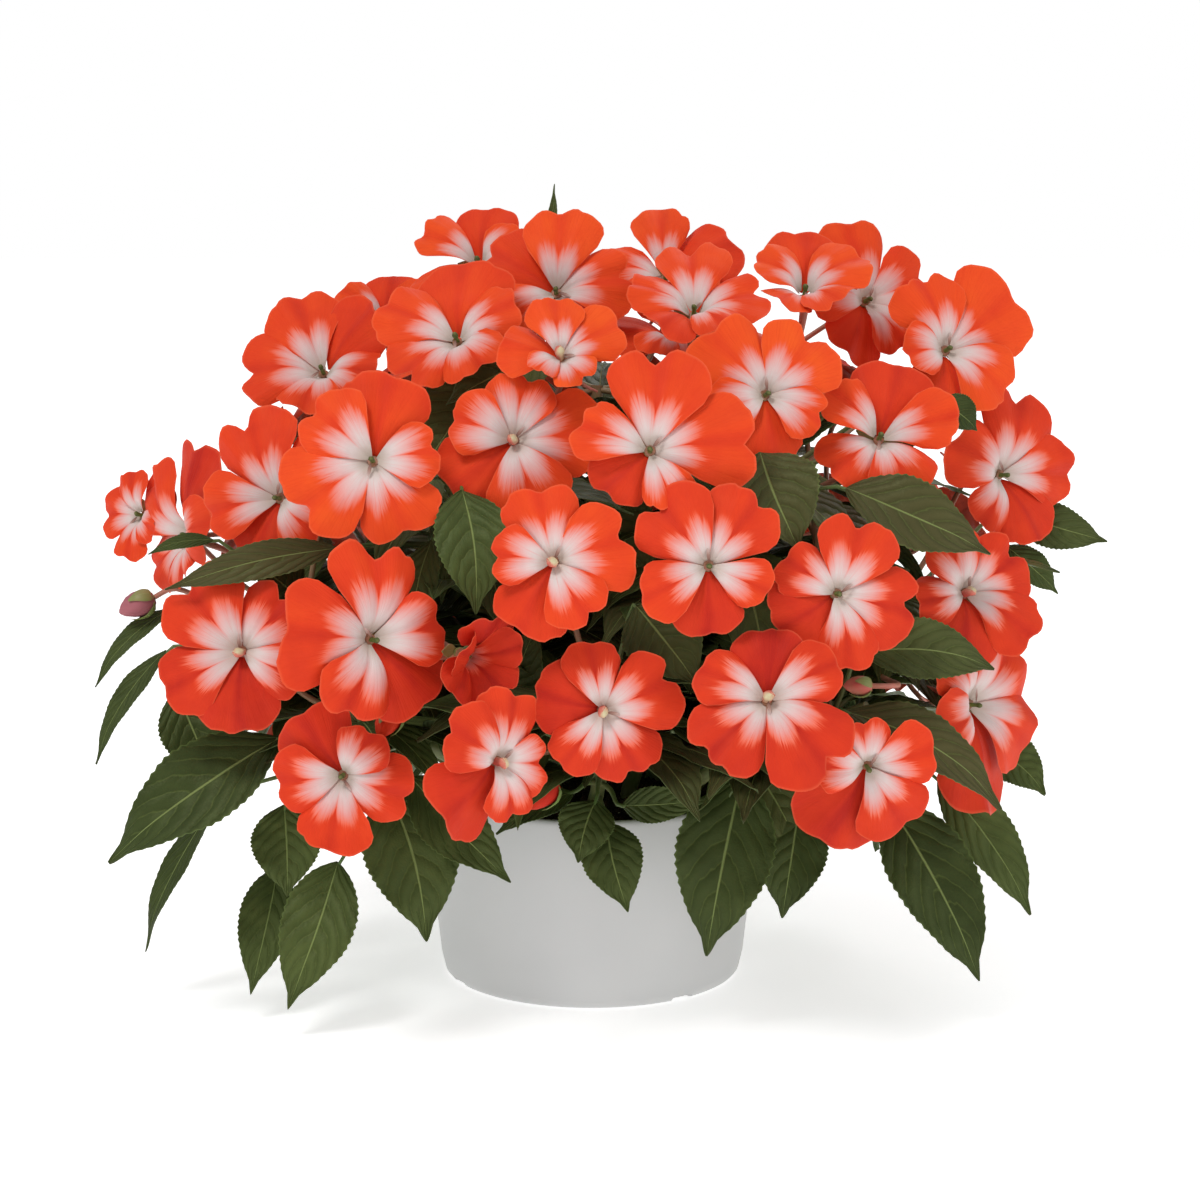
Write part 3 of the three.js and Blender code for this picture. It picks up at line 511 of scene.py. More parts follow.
@dataclass
class SurfaceShop:
    """Makes each surface's material once and hands it out."""

    made: dict[Surface, bpy.types.Material] = field(default_factory=dict)
    mottle: bpy.types.NodeTree = field(default_factory=mottle_group)
    veins: bpy.types.NodeTree = field(default_factory=veins_group)

    def get(self, surface: Surface) -> bpy.types.Material:
        """Returns the material of a surface, made at its first use."""
        if surface not in self.made:
            makers = {
                Surface.PETAL: self.petal,
                Surface.COLUMN: self.column,
                Surface.THROAT: self.throat,
                Surface.CALYX: self.calyx,
                Surface.LEAF: self.leaf,
                Surface.STALK: self.stalk,
                Surface.POT: self.pot,
            }
            self.made[surface] = makers.get(surface, self.ground)(Coat(surface, self.mottle))
        return self.made[surface]

    def petal(self, coat: Coat) -> bpy.types.Material:
        """Petals: orange-red, with a white wedge on each lobe that feathers out in pink streaks, and painted
        light: deeper reds as shade on lower blooms, on the plain petal and along each petal's crease, grey
        painted shade in the white throat, and a painted highlight on the rim.
        """
        across, along = coat.surface_uv()
        tone, white, under = coat.mark("tone"), coat.mark("white"), coat.mark("under")
        away = coat.math("ABSOLUTE", across)
        seed = coat.times(tone, 37.0)
        streaks = coat.noise(coat.vector(coat.times(across, 8.0), coat.times(along, 1.2), seed), 1.0, 3.0)
        fine = coat.noise(coat.vector(coat.times(across, 34.0), coat.times(along, 2.2), seed), 1.0, 2.0)
        reach = coat.ramp(away, tuple((place, (level,) * 3) for place, level in WHITE_REACH))
        reach = coat.plus(reach, coat.line(streaks, 0.26, -0.13))
        reach = coat.plus(reach, coat.line(fine, 0.16, -0.08))
        reach = coat.plus(reach, coat.line(white, 0.5, -0.5))
        pale = coat.step(coat.math("DIVIDE", coat.less(reach, along), reach), 0.0, 0.78)
        pale = coat.times(pale, coat.step(white, 0.0, 0.8))
        pale = coat.less(pale, coat.times(coat.step(fine, 0.48, 0.75), 0.22), clamp=True)
        pale = coat.times(pale, coat.line(under, -0.45, 1.0))
        # The red's depth: random mottle, and painted shade that the tone mark carries on lower blooms.
        red_depth_and_shade = coat.line(tone, 0.62, coat.times(coat.broad, 0.42))
        # Painted shade: the plain petal, behind the others, and petals with little white get a deeper red.
        red_depth_and_shade = coat.plus(coat.times(coat.rest(white), 0.16), red_depth_and_shade)
        # Painted shade: a deeper red along the middle of each petal, where it folds.
        crease = coat.rest(coat.step(away, 0.0, 0.25))
        red_depth_and_shade = coat.plus(red_depth_and_shade, coat.times(crease, 0.16), clamp=True)
        red = coat.ramp(red_depth_and_shade, PETAL_REDS)
        veined = coat.stain(red, coat.step(fine, 0.45, 0.7), 0.16, (0.66, 0.035, 0.010))
        colour = coat.mix(coat.step(pale, 0.0, 0.22), veined, coat.ramp(pale, PETAL_BLUSH))
        # Painted shade: the white near the throat is greyed, standing in for the shade in the bloom's funnel.
        throat = coat.rest(coat.step(along, 0.06, 0.30))
        colour = coat.stain(colour, coat.times(throat, white), 0.5, (0.50, 0.43, 0.30))
        # Painted highlight: a thin lighter orange line along each petal's edge, where light shines through.
        rim = coat.math("MAXIMUM", coat.step(away, 0.965, 1.0), coat.step(coat.mark("outer"), 0.965, 1.0))
        colour = coat.stain(colour, rim, 0.28, (0.90, 0.20, 0.09))
        colour = coat.stain(colour, under, 0.40, (0.78, 0.16, 0.09))
        colour = coat.stain(colour, coat.mark("bronze"), 0.85, (0.34, 0.15, 0.18))
        height = coat.plus(coat.times(fine, 0.5), coat.times(coat.broad, 0.8))
        return coat.wear(colour, 0.14, 0.46, height, 0.45, 0.0008)

    def column(self, coat: Coat) -> bpy.types.Material:
        """Flower columns: a green knob on some blooms, on others a rose one that is cream on one side."""
        around, along = coat.surface_uv()
        facing = coat.math("SINE", coat.times(around, math.pi))
        cream = coat.line(facing, 0.34, coat.line(along, 0.7, -0.05), clamp=True)
        rose = coat.ramp(cream, COLUMN_ROSES)
        colour = coat.mix(coat.step(coat.mark("tone"), 0.48, 0.52), coat.ramp(along, COLUMN_GREENS), rose)
        colour = coat.stain(colour, coat.broad, 0.25, (0.22, 0.17, 0.05))
        return coat.wear(colour, 0.2, 0.4, coat.fine, 0.5, 0.0003)

    def throat(self, coat: Coat) -> bpy.types.Material:
        """The slit of the spur's mouth: a dark rose-brown sheet painted as the shade inside the spur's
        opening, fading at its end.
        """
        colour = coat.ramp(coat.surface_uv()[1], SPUR_MOUTH_SHADE_BROWNS)
        return coat.wear(coat.stain(colour, coat.broad, 0.3, (0.2, 0.1, 0.08)), 0.2, 0.45)

    def calyx(self, coat: Coat) -> bpy.types.Material:
        """Calyxes: green with a rose flush and a pale midrib."""
        across, along = coat.surface_uv()
        midrib = coat.group(self.veins, Across=across, Along=along, Count=4.0, Sweep=0.9)["Midrib"]
        flush = coat.plus(coat.times(coat.broad, 0.5), coat.times(coat.mark("tone"), 0.5))
        colour = coat.stain(coat.ramp(flush, CALYX_GREENS), midrib, 0.4, (0.38, 0.42, 0.16))
        return coat.wear(colour, 0.2, 0.36, midrib, 0.3, 0.0004)

    def leaf(self, coat: Coat) -> bpy.types.Material:
        """Leaves: dark green with cushions between sunk veins, painted shade in the hollows along the veins,
        a pale midrib and some bronze.
        """
        across, along = coat.surface_uv()
        tone = coat.mark("tone")
        seed = coat.times(tone, 29.0)
        veins = coat.group(self.veins, Across=across, Along=along, Count=7.0, Sweep=0.34, Seed=seed)
        midrib, side_veins, cushion = (veins[name] for name in VEIN_PARTS)
        shade = coat.line(tone, 0.5, coat.line(coat.broad, 0.9, -0.25), clamp=True)
        green = coat.ramp(shade, LEAF_GREENS)
        green = coat.stain(green, coat.step(coat.mark("bronze"), 0.0, 0.75), 0.85, (0.082, 0.066, 0.028))
        # Painted shade: the green is darkened along the sunk side veins, where their hollows would be shaded.
        green = coat.stain(green, coat.rest(cushion), 0.36, (0.019, 0.029, 0.006))
        green = coat.stain(green, side_veins, 0.28, (0.15, 0.19, 0.05))
        green = coat.stain(green, midrib, 0.66, (0.29, 0.36, 0.12))
        rim = coat.step(coat.math("ABSOLUTE", across), 0.95, 1.0)
        green = coat.stain(green, rim, 0.35, (0.16, 0.23, 0.06))
        pale = coat.stain((0.115, 0.155, 0.065), side_veins, 0.4, (0.22, 0.25, 0.12))
        pale = coat.stain(pale, midrib, 0.8, (0.34, 0.33, 0.16))
        pale = coat.stain(pale, coat.broad, 0.4, (0.06, 0.09, 0.035))
        colour = coat.stain(green, coat.mark("under"), 0.9, pale)
        raised = coat.less(cushion, coat.times(midrib, 1.2))
        raised = coat.plus(raised, coat.times(coat.fine, 0.35))
        return coat.wear(colour, 0.18, 0.35, raised, 0.55, 0.0009)

    def stalk(self, coat: Coat) -> bpy.types.Material:
        """Stalks: green stems and petioles, flower stalks flushed red-brown."""
        blush = coat.plus(coat.mark("blush"), coat.line(coat.broad, 0.5, -0.25), clamp=True)
        return coat.wear(coat.ramp(blush, STALK_GREENS), 0.2, 0.32, coat.fine, 0.3, 0.0003)

    def pot(self, coat: Coat) -> bpy.types.Material:
        """The pot: satin pale grey moulded plastic with a faint mottle, and painted shade darkening its foot
        where it meets the floor.
        """
        height = coat.add("ShaderNodeSeparateXYZ")
        coat.join(coat.place, height.inputs[0])
        # Painted shade: the lowest 12 mm of the pot are darkened where it meets the floor.
        foot_shade = coat.rest(coat.step(height.outputs[2], 0.0, 0.012))
        colour = coat.stain(coat.ramp(coat.broad, POT_GREYS), foot_shade, 0.12, (0.42, 0.41, 0.39))
        return coat.wear(colour, 0.12, 0.34, coat.fine, 0.12, 0.00015, follows=coat.broad)

    def ground(self, coat: Coat) -> bpy.types.Material:
        """Damp dark peat, crumbs of peat and bark, or chalky white grit with brown stains."""
        stops, least, strength, depth = GROUND[coat.surface]
        return coat.wear(coat.ramp(coat.broad, stops), 0.2, least, coat.fine, strength, depth)


# Meshes

MARKS = ("tone", "white", "under", "bronze", "outer")
RIM_THINNESS = 0.45
Faces = list[tuple[int, ...]]


def placed(name: str, data: bpy.types.ID) -> bpy.types.Object:
    """Makes an object and links it to the scene."""
    made = bpy.data.objects.new(name, data)
    bpy.context.scene.collection.objects.link(made)
    return made


def kept_mesh(source: bpy.types.Object, modifier: bpy.types.Modifier) -> bpy.types.Mesh:
    """Returns the mesh that an object's modifier makes, and removes the modifier."""
    source.update_tag()
    graph = bpy.context.evaluated_depsgraph_get()
    mesh = bpy.data.meshes.new_from_object(source.evaluated_get(graph), depsgraph=graph)
    source.modifiers.remove(modifier)
    return mesh


def settle(piece: bpy.types.Object, node: str) -> None:
    """Puts a piece on the body, and in the place of its solid."""
    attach(piece, "root")
    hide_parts(node)
    log.info("%s: %d faces", piece.name, len(piece.data.polygons))


def lattice(columns: int, rows: int) -> tuple[Array, Array]:
    """Returns the places of a blade's points: across from -1 to 1, and along from 0 to 1."""
    return np.meshgrid(np.linspace(-1, 1, columns), np.linspace(0, 1, rows))


def blade_coords(across: Array, along: Array) -> Array:
    """Returns the coordinates from 0 to 1 of places across and along a blade."""
    return np.stack([(across + 1) / 2, along], axis=2)


def circle(sides: int, width: Array | float, depth: Array | float, height: Array | float) -> Array:
    """Returns a level ring of points, turning left."""
    turn = np.linspace(0, math.tau, sides, endpoint=False)
    return np.stack([width * np.cos(turn), depth * np.sin(turn), height + 0 * turn], axis=1)


def closed_form(rings: Array) -> tuple[Array, Faces]:
    """Joins rings to a closed form.

    Args:
        rings: rings by sides of points, from the bottom up, turning left; the first and the last
            ring are taken together to one point each.

    Returns:
        The corners, with the two poles last, and the faces.
    """
    count, sides = rings.shape[:2]
    poles = [rings[0].mean(axis=0), rings[-1].mean(axis=0)]
    points = np.concatenate([rings[1:-1].reshape(-1, 3), poles])
    low, high, last = len(points) - 2, len(points) - 1, (count - 3) * sides
    faces = []
    for j in range(sides):
        k = (j + 1) % sides
        faces += [(low, k, j), (high, last + j, last + k)]
        faces += [(a + j, a + k, a + sides + k, a + sides + j) for a in range(0, last, sides)]
    return points, faces


class MeshBasket:
    """Gathers closed blades and turned forms into one mesh, with their own coordinates and marks."""

    def __init__(self, *surfaces: Surface) -> None:
        """Takes the surfaces of the mesh, in the order of their face numbers."""
        self.surfaces = surfaces
        self.points: list[Array] = []
        self.coords: list[Array] = []
        self.marks: dict[str, list[Array]] = {name: [] for name in MARKS}
        self.faces: Faces = []
        self.finishes: list[int] = []
        self.count = 0

    def gather(self, points: Array, coords: Array, faces: Faces, surface: Surface, **marks: object) -> None:
        """Adds corners and faces.

        Args:
            points: the corners, in millimetres.
            coords: each corner's coordinates across and along, from 0 to 1.
            faces: rows of corner numbers, counted from this form's first corner.
            surface: what the faces wear.
            marks: values for the corners, one for all or one each.
        """
        self.points.append(points)
        self.coords.append(coords)
        for name, values in self.marks.items():
            values.append(np.broadcast_to(np.asarray(marks.get(name, 0.0), float), (len(points),)))
        self.faces += [tuple(corner + self.count for corner in face) for face in faces]
        self.finishes += [self.surfaces.index(surface)] * len(faces)
        self.count += len(points)

    def blade(self, grid: Array, coords: Array, thickness: float, surface: Surface, **marks: object) -> None:
        """Adds a closed blade around a grid of points, thinner at its rim.

        Args:
            grid: rows by columns of points; its normal is columns crossed with rows.
            coords: each point's coordinates, from 0 to 1.
            thickness: the blade's thickness in the middle.
            surface: what it wears.
            marks: values for all its corners.
        """
        rows, columns = grid.shape[:2]
        size = rows * columns
        normals = np.cross(np.gradient(grid, axis=1), np.gradient(grid, axis=0))
        normals /= np.maximum(np.linalg.norm(normals, axis=2, keepdims=True), 1e-9)
        half = np.full((rows, columns, 1), thickness / 2)
        half[0] = half[-1] = half[:, 0] = half[:, -1] = thickness / 2 * RIM_THINNESS
        points = np.stack([grid + normals * half, grid - normals * half]).reshape(-1, 3)
        numbers = np.arange(size).reshape(rows, columns)
        a, b = numbers[:-1, :-1].ravel(), numbers[:-1, 1:].ravel()
        d, c = numbers[1:, :-1].ravel(), numbers[1:, 1:].ravel()
        sheets = np.stack([a, b, c, d, size + d, size + c, size + b, size + a], axis=1)
        faces = [tuple(face) for face in sheets.reshape(-1, 4).tolist()]
        ring = [*numbers[0], *numbers[1:, -1], *numbers[-1, -2::-1], *numbers[-2:0:-1, 0]]
        faces += [(int(q), int(p), int(size + p), int(size + q)) for p, q in zip(ring, ring[1:] + ring[:1])]
        under = np.repeat([0.0, 1.0], size)
        self.gather(points, np.tile(coords.reshape(-1, 2), (2, 1)), faces, surface, under=under, **marks)

    def turned(self, rings: Array, coords: Array, surface: Surface, **marks: object) -> None:
        """Adds a closed form of rings.

        Args:
            rings: the rings, as closed_form takes them.
            coords: each ring's place along the form, from 0 to 1.
            surface: what it wears.
            marks: values for all its corners.
        """
        points, faces = closed_form(rings)
        sides = np.linspace(0, 1, rings.shape[1])
        place = [(side, ring) for ring in coords[1:-1] for side in sides]
        place += [(0.5, coords[0]), (0.5, coords[-1])]
        self.gather(points, np.array(place), faces, surface, **marks)

    def build(self, name: str, shop: SurfaceShop, crisp: float = 50.0) -> bpy.types.Object:
        """Makes the object.

        Args:
            name: the piece's name.
            shop: where its materials come from.
            crisp: the angle between faces from which their edge stays sharp.

        Returns:
            The piece, not yet on its body.
        """
        mesh = bpy.data.meshes.new(name)
        mesh.from_pydata((np.concatenate(self.points) * MM).tolist(), [], self.faces)
        for surface in self.surfaces:
            mesh.materials.append(shop.get(surface))
        mesh.polygons.foreach_set("material_index", self.finishes)
        corners = np.empty(len(mesh.loops), dtype=np.int32)
        mesh.loops.foreach_get("vertex_index", corners)
        coords = np.concatenate(self.coords)[corners]
        mesh.uv_layers.new(name="surface").data.foreach_set("uv", coords.ravel())
        for mark, values in self.marks.items():
            layer = mesh.attributes.new(mark, "FLOAT", "POINT")
            layer.data.foreach_set("value", np.concatenate(values))
        mesh.shade_smooth()
        mesh.set_sharp_from_angle(angle=math.radians(crisp))
        mesh.validate()
        return placed(name, mesh)


# Stalks and soil crumbs


def stalk_tree() -> bpy.types.NodeTree:
    """Builds the geometry nodes that skin lines into round stalks, one radius to each point."""
    inputs = {"Lines": "Geometry", "Girth": 1.0, "Sides": 8, "Skin": "Material"}
    board = SharedTree("Round stalks", "GeometryNodeTree", inputs, {"Stalks": "Geometry"})
    radius = board.put("GeometryNodeInputNamedAttribute", {"Name": "girth"}, data_type="FLOAT")
    parts = {
        "Curve": board.put("GeometryNodeMeshToCurve", {"Mesh": board.given["Lines"]}),
        "Profile Curve": board.put(
            "GeometryNodeCurvePrimitiveCircle", {"Resolution": board.given["Sides"], "Radius": 1.0}
        ),
        "Scale": board.times(radius, board.given["Girth"]),
        "Fill Caps": True,
    }
    return board.finish({"Stalks": board.dressed(board.put("GeometryNodeCurveToMesh", parts))})


def crumb_tree() -> bpy.types.NodeTree:
    """Builds the geometry nodes that strew crumbs over a surface, each turned and sized by chance."""
    inputs = {"Ground": "Geometry", "Density": 20000.0, "Crumb size": 0.002, "Seed": 1, "Skin": "Material"}
    board = SharedTree("Strewn crumbs", "GeometryNodeTree", inputs, {"Crumbs": "Geometry"})
    given = board.given
    strewn = {"Mesh": given["Ground"], "Density": given["Density"], "Seed": given["Seed"]}
    sizes = {"Min": (0.45, 0.35, 0.3), "Max": (1.3, 1.0, 0.8), "Seed": given["Seed"]}
    turns = {"Max": (math.tau, math.tau, math.tau)}
    crumb = {"Subdivisions": 1, "Radius": given["Crumb size"]}
    parts = {
        "Points": board.put("GeometryNodeDistributePointsOnFaces", strewn),
        "Instance": board.put("GeometryNodeMeshIcoSphere", crumb),
        "Rotation": board.put("FunctionNodeRandomValue", turns, data_type="FLOAT_VECTOR"),
        "Scale": board.put("FunctionNodeRandomValue", sizes, data_type="FLOAT_VECTOR"),
    }
    return board.finish({"Crumbs": board.dressed(board.put("GeometryNodeInstanceOnPoints", parts))})


def grown(name: str, base: bpy.types.Mesh, tree: bpy.types.NodeTree, **values: object) -> bpy.types.Object:
    """Runs a tree of geometry nodes on a mesh and keeps the result as a plain mesh.

    Args:
        name: the new piece's name.
        base: the mesh that the tree starts from.
        tree: the geometry nodes.
        values: the tree's inputs by name, with underscores for spaces.

    Returns:
        The piece, not yet on its body.
    """
    source = placed(f"{name}_base", base)
    modifier = source.modifiers.new("Grow", "NODES")
    modifier.node_group = tree
    for item in tree.interface.items_tree:
        key = item.name.replace(" ", "_")
        if item.in_out == "INPUT" and key in values:
            modifier[item.identifier] = values[key]
    mesh = kept_mesh(source, modifier)
    mesh.name = name
    mesh.shade_smooth()
    bpy.data.objects.remove(source)
    return placed(name, mesh)


def smooth_line(route: list[Array], steps: int) -> Array:
    """Returns evenly spaced points on the centripetal curve through a route."""
    points = [2 * route[0] - route[1], *route, 2 * route[-1] - route[-2]]
    t = np.linspace(0, 1, 60, endpoint=False)[:, None]
    samples = []
    for four in zip(points, points[1:], points[2:], points[3:]):
        before, first, second, after = four
        gaps = [max(math.sqrt(np.linalg.norm(b - a)), 1e-4) for a, b in zip(four, four[1:])]
        pace = (second - first) / gaps[1]
        leave = (first - before) / gaps[0] - (second - before) / (gaps[0] + gaps[1]) + pace
        arrive = pace - (after - first) / (gaps[1] + gaps[2]) + (after - second) / gaps[2]
        leave, arrive = leave * gaps[1], arrive * gaps[1]
        curve = 2 * first - 2 * second + leave + arrive
        bend = -3 * first + 3 * second - 2 * leave - arrive
        samples.append(first + leave * t + bend * t * t + curve * t**3)
    line = np.concatenate([*samples, [route[-1]]])
    lengths = np.concatenate([[0], np.cumsum(np.linalg.norm(np.diff(line, axis=0), axis=1))])
    places = np.linspace(0, lengths[-1], steps + 1)
    return np.stack([np.interp(places, lengths, line[:, axis]) for axis in range(3)], axis=1)


@dataclass(frozen=True)
class StalkSort:
    """A sort of stalk: the radius and the flush at its first and last points, and its pieces."""

    start: float
    end: float
    blush: tuple[float, float]
    steps: int


STEM = StalkSort(3.7, 2.5, (0.15, 0.35), 36)
PETIOLE = StalkSort(1.5, 0.7, (0.35, 0.0), 9)
FLOWER_STALK = StalkSort(1.15, 1.35, (0.9, 0.55), 20)
SPUR = StalkSort(2.3, 0.45, (0.75, 1.0), 16)
KNUCKLE = StalkSort(2.6, 2.9, (0.4, 0.6), 6)
STALK_SAG = 4.0
STALK_GAP = 0.3  # between a stalk's end and its bloom or bud in the solids


@dataclass
class StalkLines:
    """Lines with a radius and a flush at each point, which become one piece of round stalks."""

    points: list[Array] = field(default_factory=list)
    edges: list[tuple[int, int]] = field(default_factory=list)
    girth: list[float] = field(default_factory=list)
    blush: list[float] = field(default_factory=list)

    def add(self, route: list[Array], sort: StalkSort) -> None:
        """Adds a smooth line through a route."""
        first = len(self.points)
        self.points += list(smooth_line(route, sort.steps))
        share = np.linspace(0, 1, sort.steps + 1)
        self.girth += list((sort.start + (sort.end - sort.start) * share) * MM)
        self.blush += list(sort.blush[0] + (sort.blush[1] - sort.blush[0]) * share)
        self.edges += [(first + i, first + i + 1) for i in range(sort.steps)]

    def hang(self, back: Array, way: Array, joint: Array, straight: float) -> None:
        """Adds a flower stalk from a bloom's back, along its axis and then down to a joint."""
        middle = back - way * straight
        late = (middle + joint) / 2 - UP * STALK_SAG
        self.add([back, middle, late, joint], FLOWER_STALK)

    def build(self, name: str, tree: bpy.types.NodeTree, shop: SurfaceShop) -> bpy.types.Object:
        """Makes the piece."""
        mesh = bpy.data.meshes.new(f"{name}_lines")
        mesh.from_pydata((np.array(self.points) * MM).tolist(), self.edges, [])
        for mark, values in (("girth", self.girth), ("blush", self.blush)):
            mesh.attributes.new(mark, "FLOAT", "POINT").data.foreach_set("value", values)
        return grown(name, mesh, tree, Girth=1.0, Sides=8, Skin=shop.get(Surface.STALK))


# Shoots


@dataclass(frozen=True)
class Shoot:
    """A shoot: foot on the soil, way point, top, and the leaves of its lower and upper whorl."""

    name: str
    foot: tuple[float, float]
    bend: tuple[float, float, float]
    top: tuple[float, float, float]
    leaves: tuple[int, int]
    foot_height: float = 80.0

    def line(self, steps: int = 20) -> Array:
        """Returns evenly spaced points along the stem."""
        route = ([*self.foot, self.foot_height], self.bend, self.top)
        return smooth_line([np.array(point, float) for point in route], steps)

    def joint(self, point: Array, lowest: float = 92.0) -> Array:
        """Returns the place on the stem that a stalk from this point joins, a little below it."""
        line = [place for place in self.line()[3:18] if place[2] > lowest]
        return min(line, key=lambda place: np.linalg.norm(place - point) + max(0.0, place[2] - point[2] + 8))


SHOOTS = {
    shoot.name: shoot
    for shoot in (
        Shoot("shoot_front_left", (-26, -30), (-62, -62, 112), (-112, -96, 140), (0, 3)),
        Shoot("shoot_front", (0, -42), (4, -72, 108), (6, -112, 150), (0, 2)),
        Shoot("shoot_front_right", (26, -30), (64, -62, 112), (114, -94, 140), (0, 3)),
        Shoot("shoot_left", (-44, 2), (-92, -12, 120), (-138, -22, 176), (2, 3)),
        Shoot("shoot_right", (44, 2), (94, -8, 120), (140, -16, 176), (2, 3)),
        Shoot("shoot_back_left", (-28, 34), (-66, 66, 120), (-104, 92, 172), (4, 4)),
        Shoot("shoot_back_right", (28, 34), (66, 66, 120), (104, 92, 172), (4, 4)),
        Shoot("shoot_back", (0, 46), (0, 84, 112), (0, 124, 150), (4, 4)),
        Shoot("shoot_top_left", (-16, -6), (-40, -30, 160), (-62, -52, 236), (2, 3)),
        Shoot("shoot_top_right", (16, -6), (40, -28, 160), (66, -48, 236), (2, 3)),
        Shoot("shoot_top", (0, 18), (0, 26, 160), (2, 36, 252), (3, 3)),
    )
}
SHOOT_NAMES = list(SHOOTS)


# Blooms


@dataclass(frozen=True)
class Petal:
    """One petal: its turn and level, and its width, notch, reach and squareness as shares."""

    turn: float
    level: float
    width: float
    notch: float
    reach: float
    square: float


PETALS = (
    Petal(0, -2.6, 1.12, 0.05, 1.03, 0.30),
    Petal(65, 2.0, 0.98, 0.07, 0.95, 0.12),
    Petal(139, -0.7, 1.08, 0.15, 1.02, 0.30),
    Petal(220, 0.5, 1.08, 0.15, 1.02, 0.30),
    Petal(295, 1.7, 0.98, 0.07, 0.95, 0.12),
)


@dataclass(frozen=True)
class PetalForm:
    """What all petals share. Heights of waves are shares of the bloom's radius, turns are radians."""

    columns: int = 23
    rows: int = 13
    crowding: float = 0.9
    half_angle: float = math.radians(43)
    thickness: float = 0.42
    throat_radius: float = 1.6
    nick: float = 0.04
    nick_width: float = 0.09
    ripple: float = 0.014
    fine_ripple: float = 0.007
    dimple: float = 0.13
    dimple_width: float = 0.24
    arch: float = 0.07
    side_fall: float = 0.085
    crease: float = 0.075
    crease_width: float = 0.22
    long_wave: float = 0.055
    long_turns: float = 4.2
    short_wave: float = 0.022
    short_turns: float = 10.0
    rib_height: float = 0.12
    rib_turns: float = 23.0


FORM = PetalForm()
BLOOM_SURFACES = (Surface.PETAL, Surface.COLUMN, Surface.THROAT, Surface.CALYX)
SEPAL_THICKNESS = 0.4
HUB_TIP = np.array([0.0, 0.0, 8.6])
HUB_BACK = -6.0
STALK_START = 1.0  # how far in front of its back a bloom's stalk starts
STALK_STRAIGHT = 18.0
SPRAY_STALK_STRAIGHT = 16.0
KNUCKLE_REACH = 3.3
SETTLED_WITHIN = 1.0
# Painted shade: blooms below these heights get deeper reds, standing in for the shade low in the plant.
FULL_SHADE_HEIGHT, NO_SHADE_HEIGHT = 150.0, 300.0  # heights between which the reds turn lighter, upwards
CUPPED = 30.0  # from this cup in degrees a bloom shows little white
BLOOM_STEPS = (0, -5, -10, -15, -20, -26, -32, -38, -46, -54, -62)
# The column's section: radius and height above the throat
COLUMN_SECTION = (
    (0, -6.4), (3.6, -5.9), (3.8, -5.2), (1.5, -4.2), (1.5, -1.5), (1.25, 0.2), (1.55, 1.6), (1.85, 2.9),
    (1.5, 4.0), (0.8, 4.7), (0, 4.9),
)
SPUR_ROUTE = ((0, 0, -2.5), (0, -2.6, -9), (0.4, -5.5, -18), (1, -9, -26.5), (1.3, -14, -31))

# Blooms in view: px, py, radius, yaw right, pitch up, clock hour of the plain petal, and lift
VIEW_BLOOMS = (
    (560, 355, 22, 0, 25, 9.5, 14), (650, 450, 32, 2, 4, 7.5, 14), (767, 394, 28, 12, 5, 6, 10),
    (880, 437, 28, 8, 22, 12.5, 10), (372, 460, 31, -4, 6, 12.5, 16), (709, 566, 28, 2, 0, 6, 8),
    (553, 562, 29, -4, 2, 7, 8), (768, 698, 31, 4, 12, 12, 8), (500, 762, 29, 28, -4, 8, 12),
    (603, 711, 28, 4, -6, 9.5, 4), (374, 640, 33, 32, -2, 4.5, 14), (240, 652, 29, -8, 0, 6, 10),
    (342, 776, 26, -6, -8, 11, 8), (838, 594, 28, 12, 0, 8, 6), (868, 768, 26, 10, -12, 7, 2),
    (968, 592, 25, 22, 12, 6.5, 8), (513, 440, 29, 0, 6, 7.5, 0), (456, 338, 28, -12, 30, 12, 8),
    (948, 349, 28, 20, 14, 6.5, 12), (694, 311, 28, 4, 46, 7, 12), (805, 291, 23, 4, 58, 12, 12),
    (1004, 475, 30, 34, 0, 5, 4), (277, 498, 28, -18, 4, 6.5, 0), (322, 370, 28, -14, 30, 1.5, 6),
    (556, 291, 27, 0, 14, 10, 0), (868, 300, 29, 26, 12, 7, -6), (187, 535, 31, -64, 2, 1, 0),
    (140, 515, 24, -60, 10, 2, -10), (478, 262, 26, -14, 36, 12, -6), (975, 705, 32, 54, 0, 6, 0),
    (665, 275, 26, -8, 34, 2, -14), (672, 335, 23, 0, 40, 9, -22), (385, 320, 23, -10, 40, 12, -24),
)
ROSE_COLUMNS = (1, 7, 9, 10, 8, 12, 16, 17)  # the blooms whose column is rose and cream
HALF_OPEN = (465, 655, 23, 40, -14, 12, -10)
HALF_OPEN_CUP = 48.0
